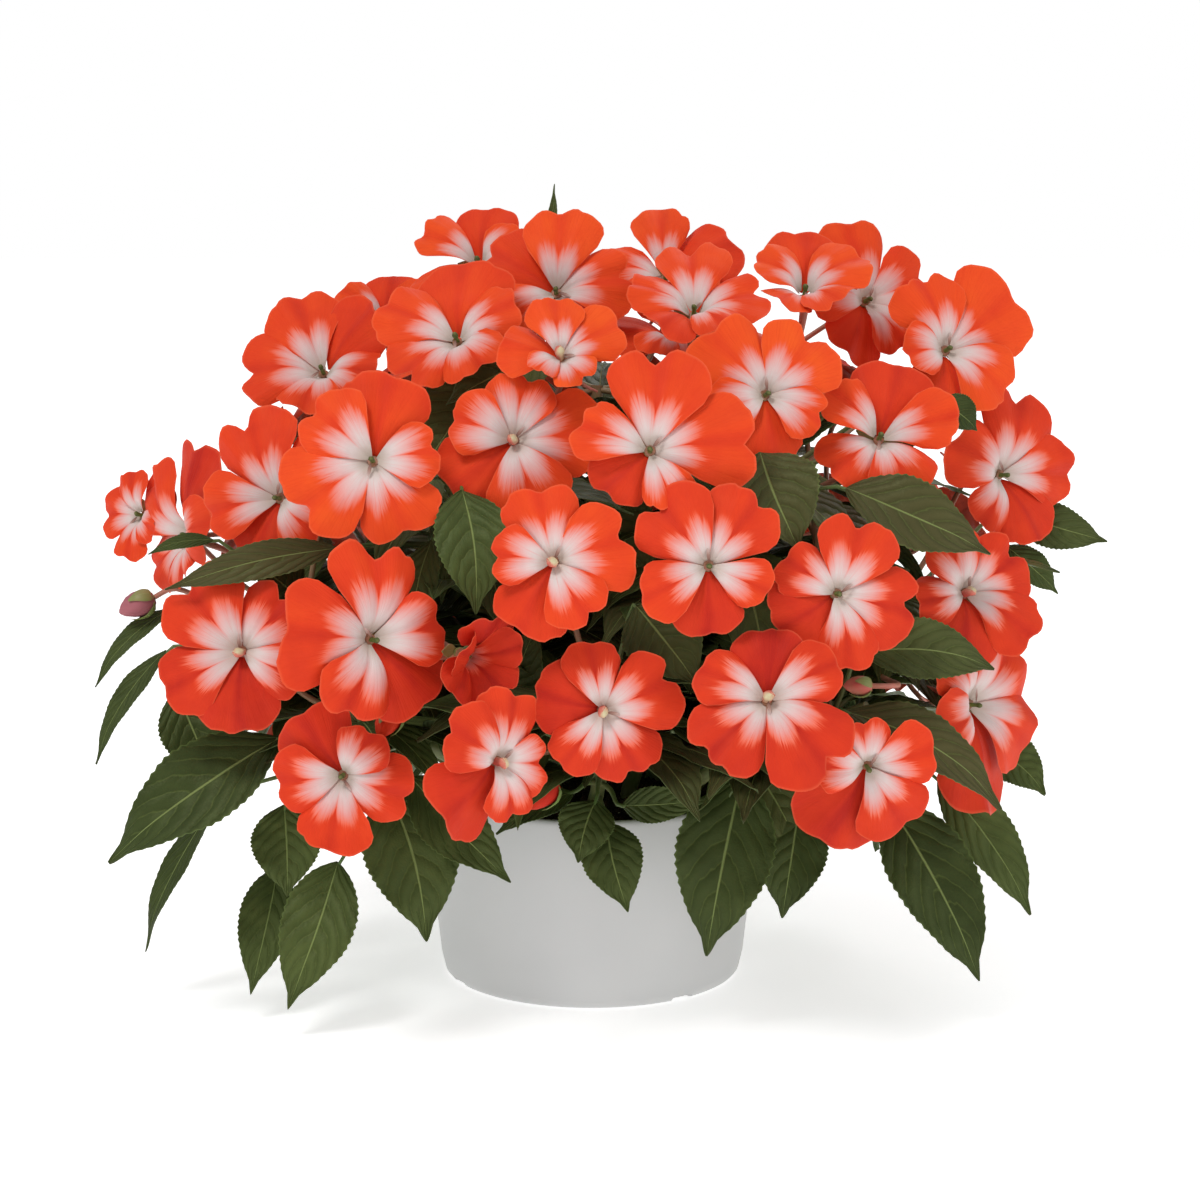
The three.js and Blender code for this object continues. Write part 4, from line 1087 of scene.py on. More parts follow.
# Petals in view beside their solid: size, longer to the right, longer upwards, turned right, turned up
VIEW_PETALS = (
    (0.98, 0.04, 0.32, 0, 4), (1.0, 0.12, 0.22, 0, 4), (1.02, 0.0, 0.17, 0, 4), (1.06, 0.10, 0.08, 0, 0),
    (1.04, -0.10, 0.0, 0, 0), (1.02, -0.10, 0.10, 0, 0), (0.95, 0.08, 0.0, 0, 0),
    (1.03, 0.04, -0.18, 0, 6), (0.89, -0.28, 0.04, 8, 0), (1.0, 0.08, 0.0, 0, 0),
    (1.03, -0.12, 0.04, 0, 0), (1.12, -0.10, 0.06, 0, 0), (1.02, -0.06, -0.06, 0, 0),
    (1.04, 0.12, 0.0, 0, 0), (1.0, 0.08, -0.28, 0, -6), (1.14, 0.13, -0.08, 0, 0),
    (1.07, 0.06, -0.14, 0, 0), (1.05, -0.10, 0.14, 0, 0), (1.12, 0.22, 0.18, 0, 0),
    (1.0, 0.04, 0.22, 0, 0), (1.16, 0.10, 0.26, 0, -10), (1.05, 0.12, 0.13, 0, 0),
    (1.14, -0.05, 0.18, 0, 0), (1.12, -0.10, 0.16, 0, 0), (1.12, 0.04, 0.20, 0, 0),
    (1.05, 0.08, 0.12, 0, 0), (1.0, 0.0, 0.28, 8, 0), (0.84, 0.0, 0.06, 22, 0), (1.02, -0.14, 0.06, 0, 0),
    (1.12, 0.10, -0.14, -4, 0), (1.05, 0.10, 0.22, 0, 0), (1.0, 0.0, 0.0, 0, 0), (1.0, 0.0, 0.0, 0, 0),
)
LOOKS = {f"bloom_{number:02d}": row for number, row in enumerate(VIEW_PETALS, 1)}
PLAIN_LOOK = (1.0, 0.0, 0.0, 0, 0)
# Blooms on the far side: height angle on the dome and bearings
BACK_RINGS = (
    (62, (104, 152, 204, 254)),
    (40, (110, 139, 168, 196, 224, 252)),
    (17, (112, 140, 166, 192, 218, 244)),
    (-6, (106, 132, 158, 184, 210, 236)),
)
SPRAYS = {f"spray_{way}": SHOOTS[f"shoot_{way}"] for way in ("back_right", "back", "back_left", "top")}


@dataclass(frozen=True)
class Bloom:
    """A bloom in its place: z of its frame is the way it faces, and y its plain petal."""

    name: str
    centre: Array
    basis: Array
    radius: float
    cup: float
    seed: int
    rose: bool
    lean: Array = field(default_factory=lambda: np.zeros(3))

    def at(self, points: Array) -> Array:
        """Moves points from the bloom's own frame to the plant's."""
        return points @ self.basis.T + self.centre

    def chance(self, index: int, low: float, high: float) -> float:
        """Returns one of the bloom's own even spread of values."""
        return spread(self.seed * 7.31 + index * 3.77, low, high)

    def outline(self, index: int, petal: Petal, across: Array) -> Array:
        """Returns how far a petal reaches at each place across it, as a share of the radius."""
        shoulder = petal.square + self.chance(index + 13, -0.1, 0.12)
        corner = np.clip((np.abs(across) - shoulder) / (1 - shoulder), 0, 1)
        fall = self.chance(index + 19, 0.30, 0.44)
        outer = 1.10 * petal.reach * (1 - fall * (1 - np.sqrt(np.maximum(1 - corner**2.1, 0))))
        depth = petal.notch * self.chance(index + 11, 0.3, 1.7)
        notch = (across - self.split(index)) / self.chance(index + 7, 0.11, 0.22)
        outer -= depth * np.exp(-(notch**2))
        nick = self.chance(index + 53, -0.75, 0.75)
        outer -= FORM.nick * np.exp(-(((across - nick) / FORM.nick_width) ** 2))
        ripple = self.chance(index + 3, 5.0, 9.0)
        outer += FORM.ripple * np.sin(ripple * across + self.chance(index, 0, 6.3))
        outer += FORM.fine_ripple * np.sin(2.6 * ripple * across + self.chance(index + 9, 0, 6.3))
        outer += self.chance(index + 5, -0.08, 0.08) * across
        return outer * self.chance(index + 37, 0.90, 1.04)

    def split(self, index: int) -> float:
        """Returns the place across a petal where its two lobes meet."""
        return self.chance(index + 61, -0.16, 0.16)

    def petal_grid(self, index: int, petal: Petal) -> tuple[Array, Array, Array]:
        """Lays out one petal.

        Args:
            index: the petal's number.
            petal: its sizes.

        Returns:
            The points in the bloom's frame, their coordinates, and how near the rim each is.
        """
        radius = self.radius
        across, along = lattice(FORM.columns, FORM.rows)
        along = along**FORM.crowding
        turn = math.radians(petal.turn + self.chance(index + 31, -5.0, 5.0))
        lean = self.lean @ self.basis
        outer = self.outline(index, petal, across) * (1 - lean[0] * math.sin(turn) + lean[1] * math.cos(turn))
        reach = FORM.throat_radius + (outer * radius - FORM.throat_radius) * along
        half = FORM.half_angle * petal.width * self.chance(index + 2, 0.88, 1.08)
        angle = across * half * self.chance(67, 0.86, 1.02) * (1.06 - 0.06 * smooth(along, 0.0, 0.4))
        x, y = reach * np.sin(angle), reach * np.cos(angle)
        share = reach / radius
        curl = self.chance(index + 17, -0.02, 0.15)
        z = petal.level * (0.42 + 0.58 * smooth(share, 0.04, 0.4)) - radius * curl * share**3
        z -= radius * FORM.dimple * np.exp(-((share / FORM.dimple_width) ** 2))
        z += radius * FORM.arch * np.sin(math.pi * np.clip(share, 0, 1))
        z -= radius * FORM.side_fall * across**2 * share
        crease = np.exp(-(((across - self.split(index)) / FORM.crease_width) ** 2)) * share
        z -= radius * FORM.crease * crease * (1.0 if index else -0.6)
        wave = self.chance(index + 23, 0, 6.3)
        z += radius * FORM.long_wave * np.sin(FORM.long_turns * across + wave) * along**2
        z += radius * FORM.short_wave * np.sin(FORM.short_turns * across + 2 * wave) * along**3
        z += FORM.rib_height * np.sin(FORM.rib_turns * across + wave) * smooth(along, 0.1, 0.5)
        y, z = spun(y, z, math.radians(self.cup + self.chance(index + 29, -5.0, 8.0)))
        x, y = spun(x, y, turn)
        return np.stack([x, y, z], axis=2), blade_coords(across, share), along

    def add_to(self, basket: MeshBasket) -> None:
        """Adds the petals, the column, the throat's slit and the sepals to a mesh."""
        # Painted shade: the tone mark deepens the reds of lower blooms, as if shaded, besides its random
        # part.
        low = 1 - float(smooth(self.centre[2], FULL_SHADE_HEIGHT, NO_SHADE_HEIGHT))
        for index, petal in enumerate(PETALS):
            grid, coords, outer = self.petal_grid(index, petal)
            white = 0.0 if index == 0 else self.chance(43, 0.74, 0.94) + self.chance(index + 41, 0, 0.08)
            marks = {
                "tone": 0.5 * low + self.chance(47, 0, 0.3) + self.chance(index + 48, 0, 0.2),
                "white": white * (0.4 if self.cup > CUPPED else 1.0),
                "outer": np.tile(outer.ravel(), 2),
            }
            basket.blade(self.at(grid), coords, FORM.thickness, Surface.PETAL, **marks)
        self.add_column(basket)
        self.add_slit(basket)
        for side in (-1, 1):
            self.add_sepal(basket, side)

    def add_column(self, basket: MeshBasket) -> None:
        """Adds the knob in the throat: stamens around the ovary, leaning to the plain petal."""
        wide, tall = (1.32, 1.0) if self.rose else (0.7, 0.72)
        sides = 12
        ribs = 1 + 0.07 * np.cos(5 * np.linspace(0, math.tau, sides, endpoint=False))
        rings = []
        for radius, z in COLUMN_SECTION:
            ribbed = radius * wide * ribs
            lean = 0.022 * max(z * tall, 0) ** 2
            rings.append(circle(sides, ribbed, ribbed * 0.85, z * tall) + [0, lean, 0])
        places = np.linspace(0, 1, len(rings))
        basket.turned(self.at(np.array(rings)), places, Surface.COLUMN, tone=float(self.rose))

    def add_slit(self, basket: MeshBasket) -> None:
        """Adds the mouth of the spur, a narrow dark slit on the far side of the column that stands in as
        painted shade for the spur's opening.
        """
        places = np.linspace(0, 1, 7)
        rings = []
        for along in places:
            width = 0.75 * math.sin(math.pi * min(max(along, 0.02), 0.98)) ** 0.7
            upright = circle(8, width, 0.35 * width, 0.0)[:, [0, 2, 1]]
            rings.append(upright + [0.5 * along, -1.2 - 6.0 * along, 0.55 + 0.8 * along])
        basket.turned(self.at(np.array(rings)), places, Surface.THROAT)

    def add_sepal(self, basket: MeshBasket, side: int) -> None:
        """Adds one of the two small sepals behind the petals."""
        across, along = lattice(5, 7)
        width = 2.6 * np.sin(math.pi * np.clip(along * 0.93 + 0.05, 0, 1)) + 0.15
        z = HUB_BACK + 1.2 + 2.4 * along + 0.5 * across**2
        grid = np.stack([side * (1.5 + 8.5 * along), 1.0 - across * width * side, z], axis=2)
        tone = self.chance(side + 60, 0.1, 0.7)
        basket.blade(self.at(grid), blade_coords(across, along), SEPAL_THICKNESS, Surface.CALYX, tone=tone)

    def back(self, behind: float) -> Array:
        """Returns the point this far behind the bloom, where its flower stalk meets it."""
        return self.at(np.array([0.0, 0.0, HUB_BACK - behind]))

    def add_stalks(self, lines: StalkLines, joint: Array, straight: float) -> None:
        """Adds the flower stalk, and the thin curved spur that hangs from the bloom's back."""
        lines.hang(self.back(-STALK_START), self.basis[:, 2], joint, straight)
        bend = self.chance(71, -5, 5)
        lines.add([self.at(np.array([bend * x, y, z])) for x, y, z in SPUR_ROUTE], SPUR)


@dataclass
class Flowers:
    """All the blooms: those in view, the half-open one and the sprays of the far side."""

    shop: SurfaceShop
    tree: bpy.types.NodeTree
    singles: list[Bloom] = field(default_factory=list)
    sprays: dict[str, list[Bloom]] = field(default_factory=lambda: {name: [] for name in SPRAYS})

    def settled(
        self, first: Bloom, way: Array, steps: tuple[float, ...], nodes: list[str]
    ) -> tuple[Bloom, str]:
        """Finds where a bloom was settled among the solids.

        Args:
            first: the bloom at its starting point.
            way: the direction in which it was moved.
            steps: how far it may have been moved.
            nodes: the solids that it may belong to.

        Returns:
            The bloom whose tip is a corner of a solid, and the solid's name.
        """
        choices = [replace(first, centre=first.centre + way * step) for step in steps]
        apart, node, number = CORNERS.best(nodes, [bloom.at(HUB_TIP) for bloom in choices])
        if apart > SETTLED_WITHIN:
            log.warning("%s is %.1f mm from its solid", first.name, apart)
        return choices[number], node

    def add_in_view(self, name: str, row: tuple[float, ...], cup: float, seed: int, rose: bool) -> None:
        """Finds a bloom that the photograph shows."""
        px, py, radius, yaw, pitch, hour, lift = row
        plain = VIEW.clock(hour)
        cup = cup or 4 + 0.38 * max(0.0, pitch - 6) + 0.16 * max(0.0, abs(yaw) - 20)
        centre, basis = DOME.seen_at(VIEW, px, py), axes(VIEW.facing(yaw, pitch), plain)
        first = Bloom(name, centre, basis, radius, cup, seed, rose)
        steps = tuple(lift + step for step in BLOOM_STEPS)
        bloom = self.settled(first, -VIEW.sight(px, py), steps, [name])[0]
        size, right, up, aside, raised = LOOKS.get(name, PLAIN_LOOK)
        basis = axes(VIEW.facing(yaw + aside, pitch + raised), plain)
        lean = VIEW.right * right + VIEW.up * up
        self.singles.append(replace(bloom, basis=basis, radius=radius * size, lean=lean))

    def add_behind(self, index: int, bearing: float, height: float) -> None:
        """Finds a bloom on the far side, and the spray that it belongs to."""
        centre, out = DOME.point(bearing, height + spread(index + 3, -5, 5))
        plain = np.array([spread(index + 7, -1, 1), spread(index + 2, -1, 1), -0.4])
        basis = axes(out + UP * spread(index + 5, 0, 0.35), plain)
        radius = spread(index, 28, 33)
        first = Bloom(f"back_bloom_{index}", centre, basis, radius, 0, 40 + index, index % 3 == 0)
        bloom, spray = self.settled(first, out, BLOOM_STEPS, list(SPRAYS))
        self.sprays[spray].append(bloom)

    def find(self) -> None:
        """Finds every bloom's place."""
        for number, row in enumerate(VIEW_BLOOMS, 1):
            self.add_in_view(f"bloom_{number:02d}", row, 0.0, number, number in ROSE_COLUMNS)
        self.add_in_view("bloom_half_open", HALF_OPEN, HALF_OPEN_CUP, 35, False)
        behind = [(bearing, height) for height, bearings in BACK_RINGS for bearing in bearings]
        for index, (bearing, height) in enumerate(behind, 1):
            self.add_behind(index, bearing, height)

    def everyone(self) -> list[Bloom]:
        """Returns all the blooms."""
        return self.singles + [bloom for blooms in self.sprays.values() for bloom in blooms]

    def hung(self) -> dict[str, list[Bloom]]:
        """Returns the single blooms by the shoot that their stalk is part of."""
        owners: dict[str, list[Bloom]] = {name: [] for name in SHOOT_NAMES}
        for bloom in self.singles:
            owners[CORNERS.nearest(SHOOT_NAMES, bloom.back(STALK_GAP))[1]].append(bloom)
        return owners

    def build(self) -> None:
        """Makes a piece for each bloom in view, and two for each spray."""
        for bloom in self.singles:
            basket = MeshBasket(*BLOOM_SURFACES)
            bloom.add_to(basket)
            settle(basket.build(bloom.name.replace("bloom", "flower"), self.shop), bloom.name)
        for name, blooms in self.sprays.items():
            before, last = SPRAYS[name].line(40)[-2:]
            end = last + unit(last - before) * KNUCKLE_REACH
            basket, lines = MeshBasket(*BLOOM_SURFACES), StalkLines()
            lines.add([before, last, end, end + unit(end - last) * 2], KNUCKLE)
            for bloom in blooms:
                bloom.add_to(basket)
                bloom.add_stalks(lines, end, SPRAY_STALK_STRAIGHT)
            settle(basket.build(f"{name}_flowers", self.shop), name)
            settle(lines.build(f"{name}_stalks", self.tree, self.shop), name)


# Leaves

LEAF_NORMAL = VIEW.viewer + VIEW.up * 0.5
# Leaves in view: base px, py, tip px, py, nearness of base and tip, width, roll, bronze
VIEW_LEAVES = (
    (538, 282, 557, 184, -14, -22, 7, 40, 0), (548, 352, 446, 402, 96, 112, 33, 0, 0.3),
    (462, 490, 476, 613, 112, 134, 30, 0, 0), (432, 540, 413, 655, 96, 118, 16, 0, 0.2),
    (338, 548, 165, 590, 84, 96, 15, -30, 0.8), (214, 540, 148, 553, 20, 24, 7, 0, 0),
    (172, 608, 93, 685, 14, 26, 11, 20, 0), (166, 650, 93, 762, 30, 50, 12, 20, 0),
    (176, 690, 216, 784, 54, 64, 28, 0, 0), (280, 738, 106, 860, 84, 104, 36, 0, 0),
    (218, 800, 140, 950, 44, 56, 14, 30, 0), (284, 805, 287, 896, 70, 84, 29, 0, 0),
    (278, 868, 250, 993, 56, 84, 24, 0, 0), (338, 862, 287, 1008, 78, 108, 31, 0, 0),
    (388, 790, 427, 941, 88, 110, 39, 0, 0), (410, 776, 511, 881, 92, 112, 27, 0, 0),
    (606, 822, 628, 911, 96, 116, 25, 0, 0), (596, 800, 578, 862, 92, 106, 23, 0, 0),
    (622, 806, 708, 800, 94, 112, 15, 20, 0), (574, 792, 496, 832, 94, 108, 14, 10, 0),
    (742, 776, 706, 956, 90, 112, 40, 0, 0), (800, 802, 782, 918, 74, 88, 29, 0, 0),
    (886, 800, 982, 980, 72, 96, 36, 0, 0), (938, 778, 1033, 914, 52, 68, 25, 0, 0),
    (846, 712, 1004, 806, 132, 140, 26, -10, 0.8), (985, 745, 1046, 794, 16, 26, 22, 0, 0),
    (862, 652, 996, 668, 92, 84, 25, 10, 0.3), (760, 452, 800, 550, 108, 132, 37, 0, 0.5),
    (846, 488, 992, 552, 96, 104, 30, 0, 0.6), (1006, 510, 1108, 541, 6, 10, 20, 20, 0.2),
    (1006, 546, 1059, 593, 14, 18, 15, 0, 0), (636, 606, 698, 684, 122, 140, 33, 0, 0.3),
    (940, 400, 978, 430, 40, 40, 16, 0, 0), (508, 706, 536, 626, 96, 104, 24, 0, 0.2),
)
# Leaves in the gaps between blooms: base px, py, tip px, py, nearness, width
GAP_LEAVES = (
    (590, 492, 648, 590, 52, 34), (742, 752, 800, 850, 70, 30), (482, 384, 424, 466, 60, 36),
    (905, 395, 872, 470, 60, 28), (300, 600, 250, 560, 66, 26),
)
LEAF_STEPS = (0, -6, 6, -12, 12, -18, 18, -26, 26, -34, -42)
# Leaves that hang out on the far side: bearings, distance and height of base and tip, width
BACK_LEAVES = (
    ((92, 113, 134, 155, 176, 197, 218, 239, 262), (104, 100), (150, 38), 34),
    ((100, 126, 152, 178, 204, 230, 256), (112, 150), (184, 122), 32),
    ((90, 128, 166, 204, 242, 270), (92, 214), (166, 216), 30),
)
BACK_TURNS = (0, 7, -7, 13, -13)
WHORLS = ((0.55, 74, 8), (0.88, 66, 30))  # place along the stem, the leaves' length, rise in degrees
WHORL_TURNS = (0, 22, -22, 44, -44)
LEAF_THICKNESS = 0.5
LEAF_RISE, LEAF_FALL = 0.84, 1.2  # how the blade's width grows from its base and shrinks to its tip
VIEW_WITHIN, BACK_WITHIN, WHORL_WITHIN = 1.0, 0.7, 1.4  # a leaf's tip lies this near a solid's corner
LOWEST_JOINT = 90.0
BUD_STALK_STRAIGHT = 9.0


@dataclass(frozen=True)
class Leaf:
    """A leaf in its place, on its shoot."""

    base: Array
    tip: Array
    width: float
    normal: Array
    seed: float
    bronze: float = 0.0
    rows: int = 43
    columns: int = 9

    def outline(self, across: Array, along: Array) -> Array:
        """Returns half the blade's width: toothed, and drawn out to a tip."""
        swell = np.maximum(along, 1e-3) ** LEAF_RISE * np.maximum(1 - along, 1e-3) ** LEAF_FALL
        outline = swell / (LEAF_RISE / 2) ** LEAF_RISE / (LEAF_FALL / 2) ** LEAF_FALL
        outline *= 1 - 0.30 * smooth(along, 0.80, 0.95)
        outline += 0.035 * np.exp(-(((along - 0.96) / 0.04) ** 2))
        teeth = 1 + 0.05 * (np.arange(self.rows) % 2)[:, None] * (np.abs(across) > 0.99)
        return np.maximum(outline * teeth * self.width / 2, 0.25)

    def grid(self) -> tuple[Array, Array]:
        """Lays out the folded and arched blade.

        Returns:
            The points in the plant's frame, and their coordinates.
        """
        axis = self.tip - self.base
        length = np.linalg.norm(axis)
        side = unit(np.cross(axis, self.normal))
        face = unit(np.cross(side, axis))
        across, along = lattice(self.columns, self.rows)
        sideways = across * self.outline(across, along)
        turn = spread(self.seed + 5, 0, 6.3)
        height = 4 * spread(self.seed, 0.05, 0.10) * length * along * (1 - along)
        height += np.abs(sideways) * spread(self.seed + 1, 0.14, 0.26) * smooth(along, 0.0, 0.15)
        height += 0.035 * self.width * np.sin(9.5 * along + turn + across) * across**2
        height += 0.014 * self.width * np.sin(25 * along - 2 * turn) * across**2 * np.sign(across)
        height -= 0.045 * length * smooth(along, 0.65, 1.0) ** 1.5
        sideways += spread(self.seed + 2, -0.05, 0.05) * length * np.sin(math.pi * along)
        grid = self.base + along[..., None] * axis + sideways[..., None] * side + height[..., None] * face
        return grid, blade_coords(-across, along)

    def samples(self) -> Array:
        """Returns points along the midrib and both edges, to test the leaf against its neighbours."""
        rows = np.round(np.linspace(0.08, 0.88, 5) * (self.rows - 1)).astype(int)
        return self.grid()[0][rows][:, ::2].reshape(-1, 3)

    def add_to(self, basket: MeshBasket) -> None:
        """Adds the blade to a mesh."""
        tone = spread(self.seed + 3, 0, 1)
        basket.blade(*self.grid(), LEAF_THICKNESS, Surface.LEAF, tone=tone, bronze=self.bronze)


class LeafFinder:
    """Finds where each leaf was settled among the solids, and on which shoot."""

    def __init__(self) -> None:
        """Starts with no leaves on any shoot."""
        self.found: dict[str, list[Leaf]] = {name: [] for name in SHOOT_NAMES}

    def settle(self, choices: list[Leaf], limit: float) -> None:
        """Keeps the choice whose tip is a corner of a shoot, where one is within the limit."""
        apart, shoot, number = CORNERS.best(SHOOT_NAMES, [leaf.tip for leaf in choices])
        if apart <= limit:
            self.found[shoot].append(choices[number])

    def view_leaves(self) -> None:
        """Finds the leaves that the photograph shows."""
        for number, row in enumerate(VIEW_LEAVES):
            bx, by, tx, ty, base_near, tip_near, width, roll, bronze = row
            choices = []
            for step in LEAF_STEPS:
                base, tip = VIEW.point(bx, by, base_near + step), VIEW.point(tx, ty, tip_near + step)
                normal = turned(LEAF_NORMAL, unit(tip - base), roll)
                choices.append(Leaf(base, tip, width * 1.04, normal, 3.1 * number, bronze))
            self.settle(choices, VIEW_WITHIN)

    def gap_leaves(self) -> None:
        """Adds the leaves that close the gaps between blooms, each on the nearest shoot."""
        for number, (bx, by, tx, ty, near, width) in enumerate(GAP_LEAVES):
            base, tip = VIEW.point(bx, by, near), VIEW.point(tx, ty, near + 10)
            shoot = min(SHOOTS.values(), key=lambda shoot: np.linalg.norm(shoot.joint(base) - base))
            self.found[shoot.name].append(Leaf(base, tip, width, LEAF_NORMAL, 1.7 * number, 0.3))

    def back_leaves(self) -> None:
        """Finds the leaves that hang out on the far side."""
        for bearings, base_at, tip_at, width in BACK_LEAVES:
            for i, bearing in enumerate(bearings):
                choices = []
                for turn in BACK_TURNS:
                    base = around(bearing + turn, *base_at)
                    tip = around(bearing + turn + spread(i + width, -9, 9), *tip_at)
                    normal = unit(tip * np.array([1, 1, 0])) + UP
                    choices.append(Leaf(base, tip, width * 1.1, normal, 5.3 * i + width, rows=37))
                self.settle(choices, BACK_WITHIN)

    def whorls(self) -> None:
        """Finds the leaves of each shoot's two whorls."""
        shoots = enumerate(SHOOTS.values())
        sites = [(s, shoot, w, whorl) for s, shoot in shoots for w, whorl in enumerate(WHORLS)]
        for s, shoot, w, (place, length, rise) in sites:
            joint = shoot.line(200)[round(place * 200)]
            lift = math.tan(math.radians(rise))
            for i in range(shoot.leaves[w]):
                first = 360 * i / shoot.leaves[w] + spread(s * 3 + w, 0, 360)
                choices = []
                for turn in WHORL_TURNS:
                    out = around(first + turn, 1, 0)
                    base = joint + (out + UP * lift) * 14
                    tip = base + (out + UP * (lift - 0.25)) * length
                    choices.append(Leaf(base, tip, length * 0.396, UP, 2.7 * i + 11 * s + w, rows=33))
                self.settle(choices, WHORL_WITHIN)


@dataclass
class FillLeaves:
    """Leaves inside the dome that close the plant's depth, clear of the pot and every bloom.

    The room that a bloom needs is given by the heights behind and in front of its centre.
    """

    blooms: list[Bloom]
    levels: tuple[float, ...] = (0.26, 0.36, 0.46, 0.56, 0.66, 0.76, 0.86, 0.96)
    per_level: int = 6
    length: tuple[float, float] = (58.0, 90.0)
    widest_share: float = 0.96
    pot_radius: float = 80.0
    pot_height: float = 92.0
    front_lowest: float = 106.0
    bloom_room: tuple[float, float] = (-7.0, 8.0)

    def clear(self, leaf: Leaf) -> bool:
        """Tells whether a leaf stays inside the dome, off the pot and clear of the blooms."""
        points = leaf.samples()
        x, y, z = points.T
        if max(DOME.share(point) for point in points) > self.widest_share:
            return False
        if np.any((z < self.pot_height) & (np.hypot(x, y) < self.pot_radius)):
            return False
        if np.any((z < self.front_lowest) & (y < 0)):
            return False
        for bloom in self.blooms:
            aside, up, ahead = ((points - bloom.centre) @ bloom.basis).T
            near = np.hypot(aside, up) < bloom.radius + 2
            if np.any(near & (ahead > self.bloom_room[0]) & (ahead < self.bloom_room[1])):
                return False
        return True

    def choices(self, joint: Array, first: float, seed: float) -> list[Leaf]:
        """Returns a longer and a shorter leaf at a joint."""
        out = around(first, 1, 0)
        rise = spread(seed + 2, -0.6, 0.5)
        base = joint + (out + UP * max(rise, 0.1)) * 13
        leaves = []
        for length in (spread(seed, *self.length), self.length[0] * 0.8):
            tip = base + (out + UP * (rise - 0.2)) * length
            bronze = spread(seed + 9, -0.5, 0.6)
            leaves.append(Leaf(base, tip, length * 0.44, UP + out * 0.6, seed, bronze, rows=21))
        return leaves

    def grow(self, found: dict[str, list[Leaf]]) -> None:
        """Adds the leaves that stand clear to the leaves of each shoot."""
        for s, shoot in enumerate(SHOOTS.values()):
            line = shoot.line(100)
            for level, place in enumerate(self.levels):
                joint = line[round(place * 100)]
                for i in range(self.per_level if joint[2] >= LOWEST_JOINT else 0):
                    first = 360 / self.per_level * i + spread(s * 7 + level, 0, 360)
                    choices = self.choices(joint, first, 13.0 * s + 4.1 * level + i)
                    leaf = next(filter(self.clear, choices), None)
                    if leaf:
                        found[shoot.name].append(leaf)


# Buds


class BudKind(Enum):
    """What a bud shows between its sepals, and how pale its petals are."""

    FADED = 0.18
    ROSE = 0.6
    MIXED = 0.36
    GREEN = 0.0


# The furled petals' section: radius and height as shares of the bud's length
BUD_SECTION = (
    (0, 0.02), (0.15, 0.03), (0.27, 0.14), (0.34, 0.32), (0.33, 0.5), (0.27, 0.7), (0.16, 0.88),
    (0.06, 0.97), (0, 1),
)


@dataclass(frozen=True)
class Bud:
    """A bud: furled petals in three sepals."""

    number: int
    px: float
    py: float
    nearness: float
    length: float
    hour: float
    kind: BudKind
    sides: int = 18

    @property
    def way(self) -> Array:
        """The way the bud points."""
        return VIEW.clock(self.hour)

    @property
    def back(self) -> Array:
        """The bud's foot, where its stalk ends."""
        return VIEW.point(self.px, self.py, self.nearness) - self.way * self.length / 2

    def at(self, points: Array) -> Array:
        """Moves points from the bud's own frame, in shares of its length, to the plant's."""
        return points * self.length @ axes(self.way, VIEW.viewer).T + self.back

    def build(self, shop: SurfaceShop) -> None:
        """Makes the furled petals and three sepals."""
        basket = MeshBasket(Surface.PETAL, Surface.CALYX)
        turn = np.linspace(0, math.tau, self.sides, endpoint=False)
        rings = []
        for radius, z in BUD_SECTION:
            furl = radius * (1 + 0.10 * np.cos(3 * turn + 4.0 * z))
            rings.append(circle(self.sides, furl, furl, z))
        radii, heights = np.array(BUD_SECTION).T
        skin = Surface.CALYX if self.kind is BudKind.GREEN else Surface.PETAL
        marks = {
            "tone": 0.3 * self.number,
            "white": self.kind.value,
            "bronze": float(self.kind is BudKind.FADED),
        }
        basket.turned(self.at(np.array(rings)), 0.5 + 0.4 * heights, skin, **marks)
        for side in range(3):
            across, along = lattice(7, 8)
            height = along * (0.62 if side else 0.8)
            radius = np.interp(height, heights, radii) * 1.06 + 0.035
            spin = side * math.tau / 3 + across * 0.85 * (1 - along * 0.92)
            grid = self.at(np.stack([*spun(radius, 0.0, spin), height], axis=2))
            basket.blade(grid, blade_coords(across, along), SEPAL_THICKNESS, Surface.CALYX, tone=0.25 * side)
        settle(basket.build(f"furled_bud_{self.number}", shop), f"bud_{self.number}")


BUDS = (
    Bud(1, 137, 605, 20, 17, 8.2, BudKind.FADED),
    Bud(2, 388, 722, 130, 15, 7, BudKind.ROSE),
    Bud(3, 543, 795, 118, 16, 7.5, BudKind.MIXED),
    Bud(4, 858, 686, 128, 12, 9, BudKind.GREEN),
)


# Foliage


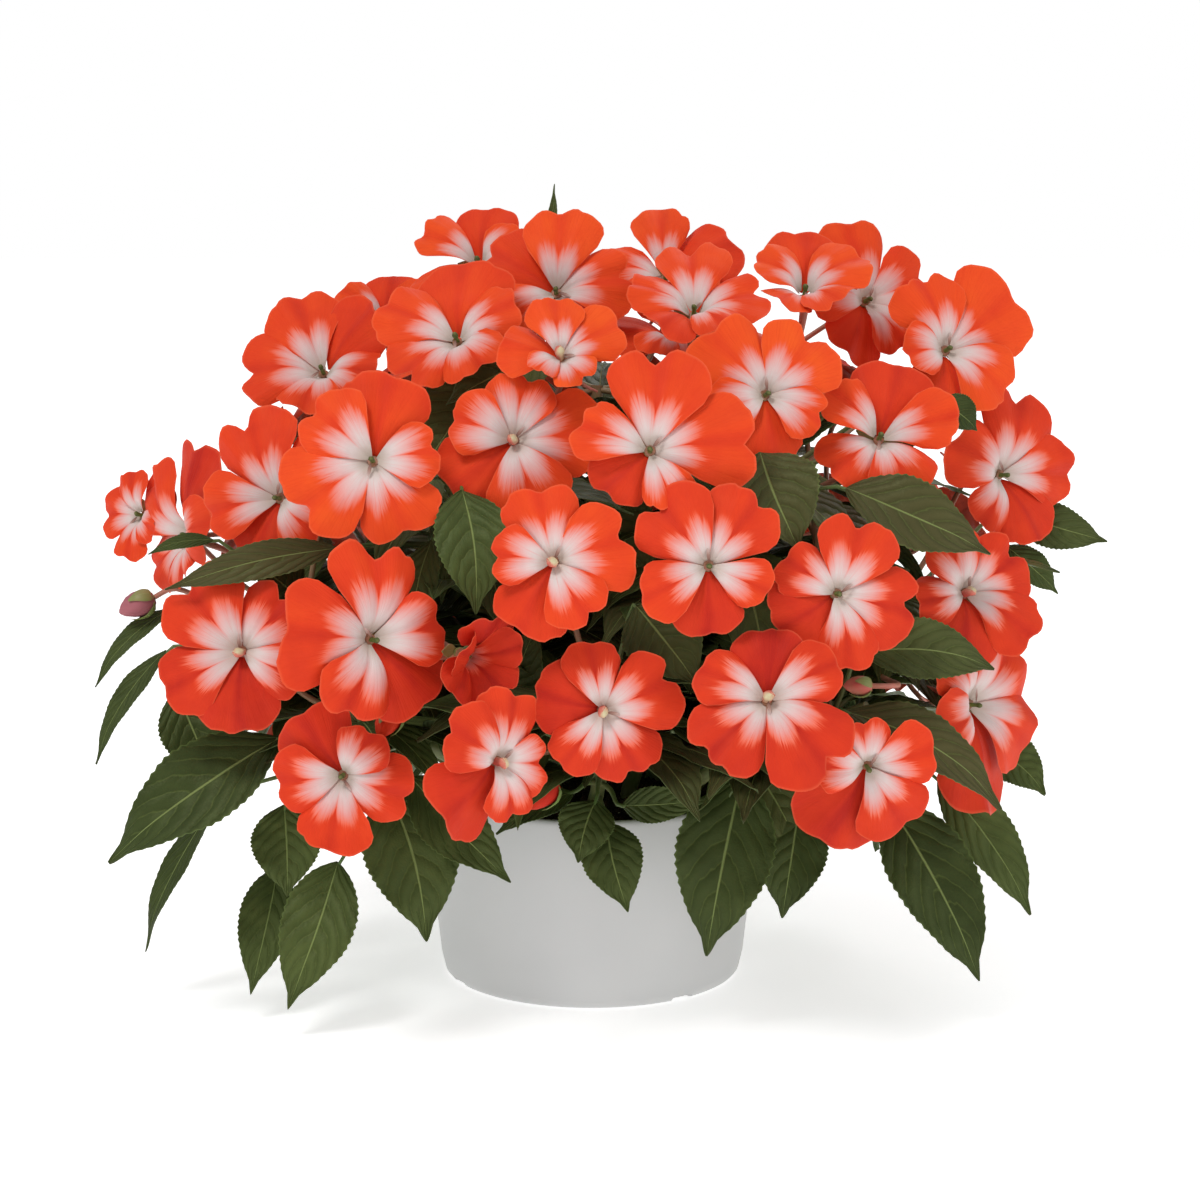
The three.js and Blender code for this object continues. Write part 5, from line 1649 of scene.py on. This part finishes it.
@dataclass
class Foliage:
    """The shoots: stems, petioles, flower stalks, spurs and leaves."""

    shop: SurfaceShop
    tree: bpy.types.NodeTree
    leaves: dict[str, list[Leaf]]
    hung: dict[str, list[Bloom]]
    buds: dict[str, list[Bud]]

    def stalks(self, shoot: Shoot) -> StalkLines:
        """Lays the lines of one shoot."""
        lines = StalkLines()
        line = shoot.line(30)
        lines.add([np.array([*shoot.foot, 62.0]), line[0], *line[5::5]], STEM)
        for leaf in self.leaves[shoot.name]:
            joint = shoot.joint(leaf.base)
            along = unit(leaf.tip - leaf.base)
            middle = (joint + leaf.base) / 2 + UP * 2
            lines.add([joint, middle, leaf.base - along, leaf.base + along * 5 + UP * 0.4], PETIOLE)
        for bloom in self.hung[shoot.name]:
            bloom.add_stalks(lines, shoot.joint(bloom.back(STALK_STRAIGHT)), STALK_STRAIGHT)
        for bud in self.buds[shoot.name]:
            lines.hang(bud.back, bud.way, shoot.joint(bud.back - bud.way * 8), BUD_STALK_STRAIGHT)
        return lines

    def build(self) -> None:
        """Makes two pieces for each shoot: its stalks and its leaves."""
        for shoot in SHOOTS.values():
            piece = self.stalks(shoot).build(f"{shoot.name}_stalks", self.tree, self.shop)
            settle(piece, shoot.name)
            basket = MeshBasket(Surface.LEAF)
            for leaf in self.leaves[shoot.name]:
                leaf.add_to(basket)
            settle(basket.build(f"{shoot.name}_leaves", self.shop), shoot.name)


# Pot and soil


@dataclass(frozen=True)
class Pot:
    """The round pot: a turned wall on a foot ring, with drain holes and small notches in the ring."""

    height: float = 86.0
    base_radius: float = 66.5
    rim_radius: float = 76.0
    wall: float = 2.4
    floor: float = 5.0
    foot_recess: float = 2.4
    pad_radius: float = 22.0
    ring_width: float = 7.0
    drain_holes: int = 6
    drain_radius: float = 4.5
    drain_ring: float = 41.0
    notches: tuple[float, ...] = (-63.0, 37.0, 117.0, 207.0)
    notch: tuple[float, float, float] = (11.0, 14.0, 4.0)
    notch_inset: float = 3.0
    sides: int = 128

    def wall_at(self, z: float) -> float:
        """Returns the wall's outer radius at a height."""
        return self.base_radius + (self.rim_radius - self.base_radius) / self.height * z

    def profile(self) -> list[tuple[float, float]]:
        """Returns the section of the wall and floor, from the centre of the underside."""
        base, rim, top = self.base_radius, self.rim_radius, self.height
        inside = base - self.ring_width
        return [
            (0, 0), (self.pad_radius, 0), (self.pad_radius + 1.5, self.foot_recess),
            (inside - 1.5, self.foot_recess), (inside, 0),
            (base - 3.2, 0), (base - 1.7, 0.5), (base - 0.7, 1.7), (base - 0.15, 4),
            *((self.wall_at(z), z) for z in (9, 20, 40, 60, top - 3)),
            (rim - 0.2, top - 1.4), (rim - 0.6, top - 0.4), (rim - 1.2, top),
            (rim - self.wall + 0.5, top), (rim - self.wall, top - 0.6),
            (self.wall_at(self.floor) - self.wall, self.floor), (0, self.floor),
        ]

    def body(self) -> bpy.types.Object:
        """Returns the turned body, not yet cut."""
        points, faces = closed_form(np.array([circle(self.sides, r, r, z) for r, z in self.profile()]))
        mesh = bpy.data.meshes.new("pot_body")
        mesh.from_pydata((points * MM).tolist(), [], faces)
        return placed("moulded_pot", mesh)

    def cutters(self) -> bpy.types.Object:
        """Returns the drain holes and the foot notches as one body of separate tools."""
        tools = bmesh.new()
        drain = {"radius1": self.drain_radius * MM, "radius2": self.drain_radius * MM, "depth": 20 * MM}
        for i in range(self.drain_holes):
            hole = bmesh.ops.create_cone(tools, cap_ends=True, segments=24, **drain)["verts"]
            x, y = spun(self.drain_ring * MM, 0.0, math.tau * i / self.drain_holes)
            bmesh.ops.translate(tools, verts=hole, vec=Vector((x, y, 0)))
        for bearing in self.notches:
            notch = bmesh.ops.create_cube(tools, size=1.0)["verts"]
            bmesh.ops.scale(tools, verts=notch, vec=Vector(self.notch) * MM)
            shift = Vector((0, self.notch_inset - self.base_radius, 0)) * MM
            bmesh.ops.translate(tools, verts=notch, vec=shift)
            for vertex in notch:
                vertex.co.x, vertex.co.y = spun(vertex.co.x, vertex.co.y, math.radians(bearing))
        mesh = bpy.data.meshes.new("pot_tools")
        tools.to_mesh(mesh)
        tools.free()
        return placed("pot_tools", mesh)

    def build(self, shop: SurfaceShop) -> None:
        """Makes the pot."""
        pot, tools = self.body(), self.cutters()
        cut = pot.modifiers.new("Cut", "BOOLEAN")
        cut.operation, cut.object, cut.solver = "DIFFERENCE", tools, "EXACT"
        mesh = pot.data = kept_mesh(pot, cut)
        bpy.data.objects.remove(tools)
        mesh.materials.clear()
        mesh.materials.append(shop.get(Surface.POT))
        mesh.shade_smooth()
        mesh.set_sharp_from_angle(angle=math.radians(38))
        settle(pot, "pot")


@dataclass(frozen=True)
class Strewing:
    """Crumbs on the soil: their surface, number to a square metre, size in metres and seed."""

    name: str
    surface: Surface
    density: float
    size: float
    seed: int


STREWINGS = (
    Strewing("soil_crumbs", Surface.CRUMB, 62000.0, 0.0021, 3),
    Strewing("soil_grit", Surface.GRIT, 5200.0, 0.0016, 8),
)


@dataclass(frozen=True)
class Soil:
    """The soil: a mounded plug with crumbs and white grit on top."""

    bottom: float = 5.3
    top: float = 75.0
    mound: float = 4.0
    gap: float = 0.6
    rings: int = 26
    sides: int = 72
    strewn_share: float = 0.97

    def height(self, share: float) -> Array:
        """Returns the height of the top around a ring at a share of its radius."""
        turn = np.linspace(0, math.tau, self.sides, endpoint=False)
        dome = self.top + self.mound * (1 - smooth(share, 0.2, 1.0)) - 2.5 * smooth(share, 0.82, 1.0)
        lumps = 0.7 * np.sin(5 * turn + 9 * share) * share + 0.5 * np.sin(11 * turn - 14 * share) * share
        return dome + lumps * (1 - smooth(share, 0.92, 1.0))

    def upper(self, pot: Pot) -> list[Array]:
        """Returns the rings of the top, from its rim to its middle."""
        radius = pot.wall_at(self.top) - pot.wall - self.gap
        shares = np.linspace(1, 0, self.rings)
        return [circle(self.sides, radius * share, radius * share, self.height(share)) for share in shares]

    def build(self, pot: Pot, shop: SurfaceShop, tree: bpy.types.NodeTree) -> None:
        """Makes the plug and strews its top."""
        radius = pot.wall_at(self.bottom) - pot.wall - self.gap
        lower = [circle(self.sides, radius * part, radius * part, self.bottom) for part in (0.0, 0.6, 1.0)]
        upper = self.upper(pot)
        basket = MeshBasket(Surface.SOIL)
        rings = np.array([*lower, *upper])
        basket.turned(rings, np.linspace(0, 1, len(rings)), Surface.SOIL)
        settle(basket.build("soil_plug", shop, 60.0), "soil")
        around_next = np.roll(np.arange(self.sides), -1)
        strewn = np.concatenate(upper[:-1]) * MM * [self.strewn_share, self.strewn_share, 1]
        numbers = np.arange(len(strewn)).reshape(-1, self.sides)
        inner, outer = numbers[1:], numbers[:-1]
        quads = np.stack([outer, outer[:, around_next], inner[:, around_next], inner], axis=2)
        for sort in STREWINGS:
            ground = bpy.data.meshes.new(f"{sort.name}_ground")
            ground.from_pydata(strewn.tolist(), [], quads.reshape(-1, 4).tolist())
            values = {"Density": sort.density, "Crumb_size": sort.size, "Seed": sort.seed}
            piece = grown(sort.name, ground, tree, Skin=shop.get(sort.surface), **values)
            piece.data.set_sharp_from_angle(angle=math.radians(25))
            settle(piece, "soil")


# Studio


@dataclass(frozen=True)
class Lamp:
    """A soft round lamp: its place and size in metres, and its power in watts."""

    name: str
    place: tuple[float, float, float]
    size: float
    power: float


LAMPS = (
    Lamp("key_lamp", (-1.0, -1.5, 2.6), 0.9, 33.0),
    Lamp("fill_lamp", (2.0, -1.4, 1.4), 1.6, 10.5),
    Lamp("back_lamp", (0.6, 2.2, 2.2), 1.6, 16.0),
)


@dataclass(frozen=True)
class Studio:
    """A pale floor, soft light and the camera at the photograph's angle."""

    sensor: float = 36.0
    picture: float = 1200.0
    floor_half: float = 3.5
    floor_height: float = -0.0002
    surround: float = 0.5
    lit_point: tuple[float, float, float] = (0.0, 0.0, 0.17)

    def aimed(self, name: str, data: bpy.types.ID, place: Vector, way: Vector) -> bpy.types.Object:
        """Puts a camera or a lamp in its place, looking along a way."""
        made = placed(name, data)
        made.location = place
        made.rotation_mode = "QUATERNION"
        made.rotation_quaternion = way.to_track_quat("-Z", "Y")
        return made

    def camera(self) -> None:
        """Makes the camera and puts it where the photograph was taken from."""
        data = bpy.data.cameras.new("Camera")
        data.sensor_width = self.sensor
        data.lens = self.sensor * VIEW.distance / (self.picture * VIEW.mm_per_pixel)
        data.clip_end = 100
        camera = self.aimed("Camera", data, Vector(VIEW.eye * MM), Vector(-VIEW.viewer))
        bpy.context.scene.camera = camera

    def floor(self) -> None:
        """Makes the floor."""
        mesh = bpy.data.meshes.new("floor")
        half = self.floor_half
        corners = ((-half, -half), (half, -half), (half, half), (-half, half))
        mesh.from_pydata([(x, y, self.floor_height) for x, y in corners], [], [(0, 1, 2, 3)])
        material = bpy.data.materials.new("studio_floor")
        material.use_nodes = True
        shader = material.node_tree.nodes["Principled BSDF"].inputs
        shader["Base Color"].default_value = (0.95, 0.95, 0.95, 1)
        shader["Roughness"].default_value = 0.9
        shader["Specular IOR Level"].default_value = 0.1
        shader["Emission Color"].default_value = (1, 1, 1, 1)
        shader["Emission Strength"].default_value = 0.5
        mesh.materials.append(material)
        placed("floor", mesh)

    def light(self) -> None:
        """Sets the pale surround and the lamps."""
        world = bpy.data.worlds.new("Surround")
        world.use_nodes = True
        board = NodeBoard(world.node_tree)
        shade = world.node_tree.nodes["Background"].inputs
        seen = board.add("ShaderNodeLightPath").outputs["Is Camera Ray"]
        shade["Color"].default_value = (1.0, 1.0, 1.0, 1.0)
        board.join(board.line(seen, 1.0 - self.surround, self.surround), shade["Strength"])
        bpy.context.scene.world = world
        for lamp in LAMPS:
            data = bpy.data.lights.new(lamp.name, "AREA")
            data.shape, data.size, data.energy = "DISK", lamp.size, lamp.power
            place = Vector(lamp.place)
            self.aimed(lamp.name, data, place, Vector(self.lit_point) - place)
        bpy.context.scene.view_settings.view_transform = "Standard"

    def build(self) -> None:
        """Makes the whole studio."""
        self.camera()
        self.floor()
        self.light()


def main() -> None:
    """Builds the plant in order."""
    logging.basicConfig(level=logging.INFO, format="%(name)s: %(message)s")
    Studio().build()
    shop, stalks, crumbs = SurfaceShop(), stalk_tree(), crumb_tree()
    pot = Pot()
    pot.build(shop)
    Soil().build(pot, shop, crumbs)
    flowers = Flowers(shop, stalks)
    flowers.find()
    finder = LeafFinder()
    finder.view_leaves()
    finder.gap_leaves()
    finder.back_leaves()
    finder.whorls()
    FillLeaves(flowers.everyone()).grow(finder.found)
    log.info("leaves: %d", sum(map(len, finder.found.values())))
    buds: dict[str, list[Bud]] = {name: [] for name in SHOOT_NAMES}
    for bud in BUDS:
        buds[CORNERS.nearest(SHOOT_NAMES, bud.back - bud.way * STALK_GAP)[1]].append(bud)
        bud.build(shop)
    flowers.build()
    Foliage(shop, stalks, finder.found, flowers.hung(), buds).build()


if __name__ == "__main__":
    main()
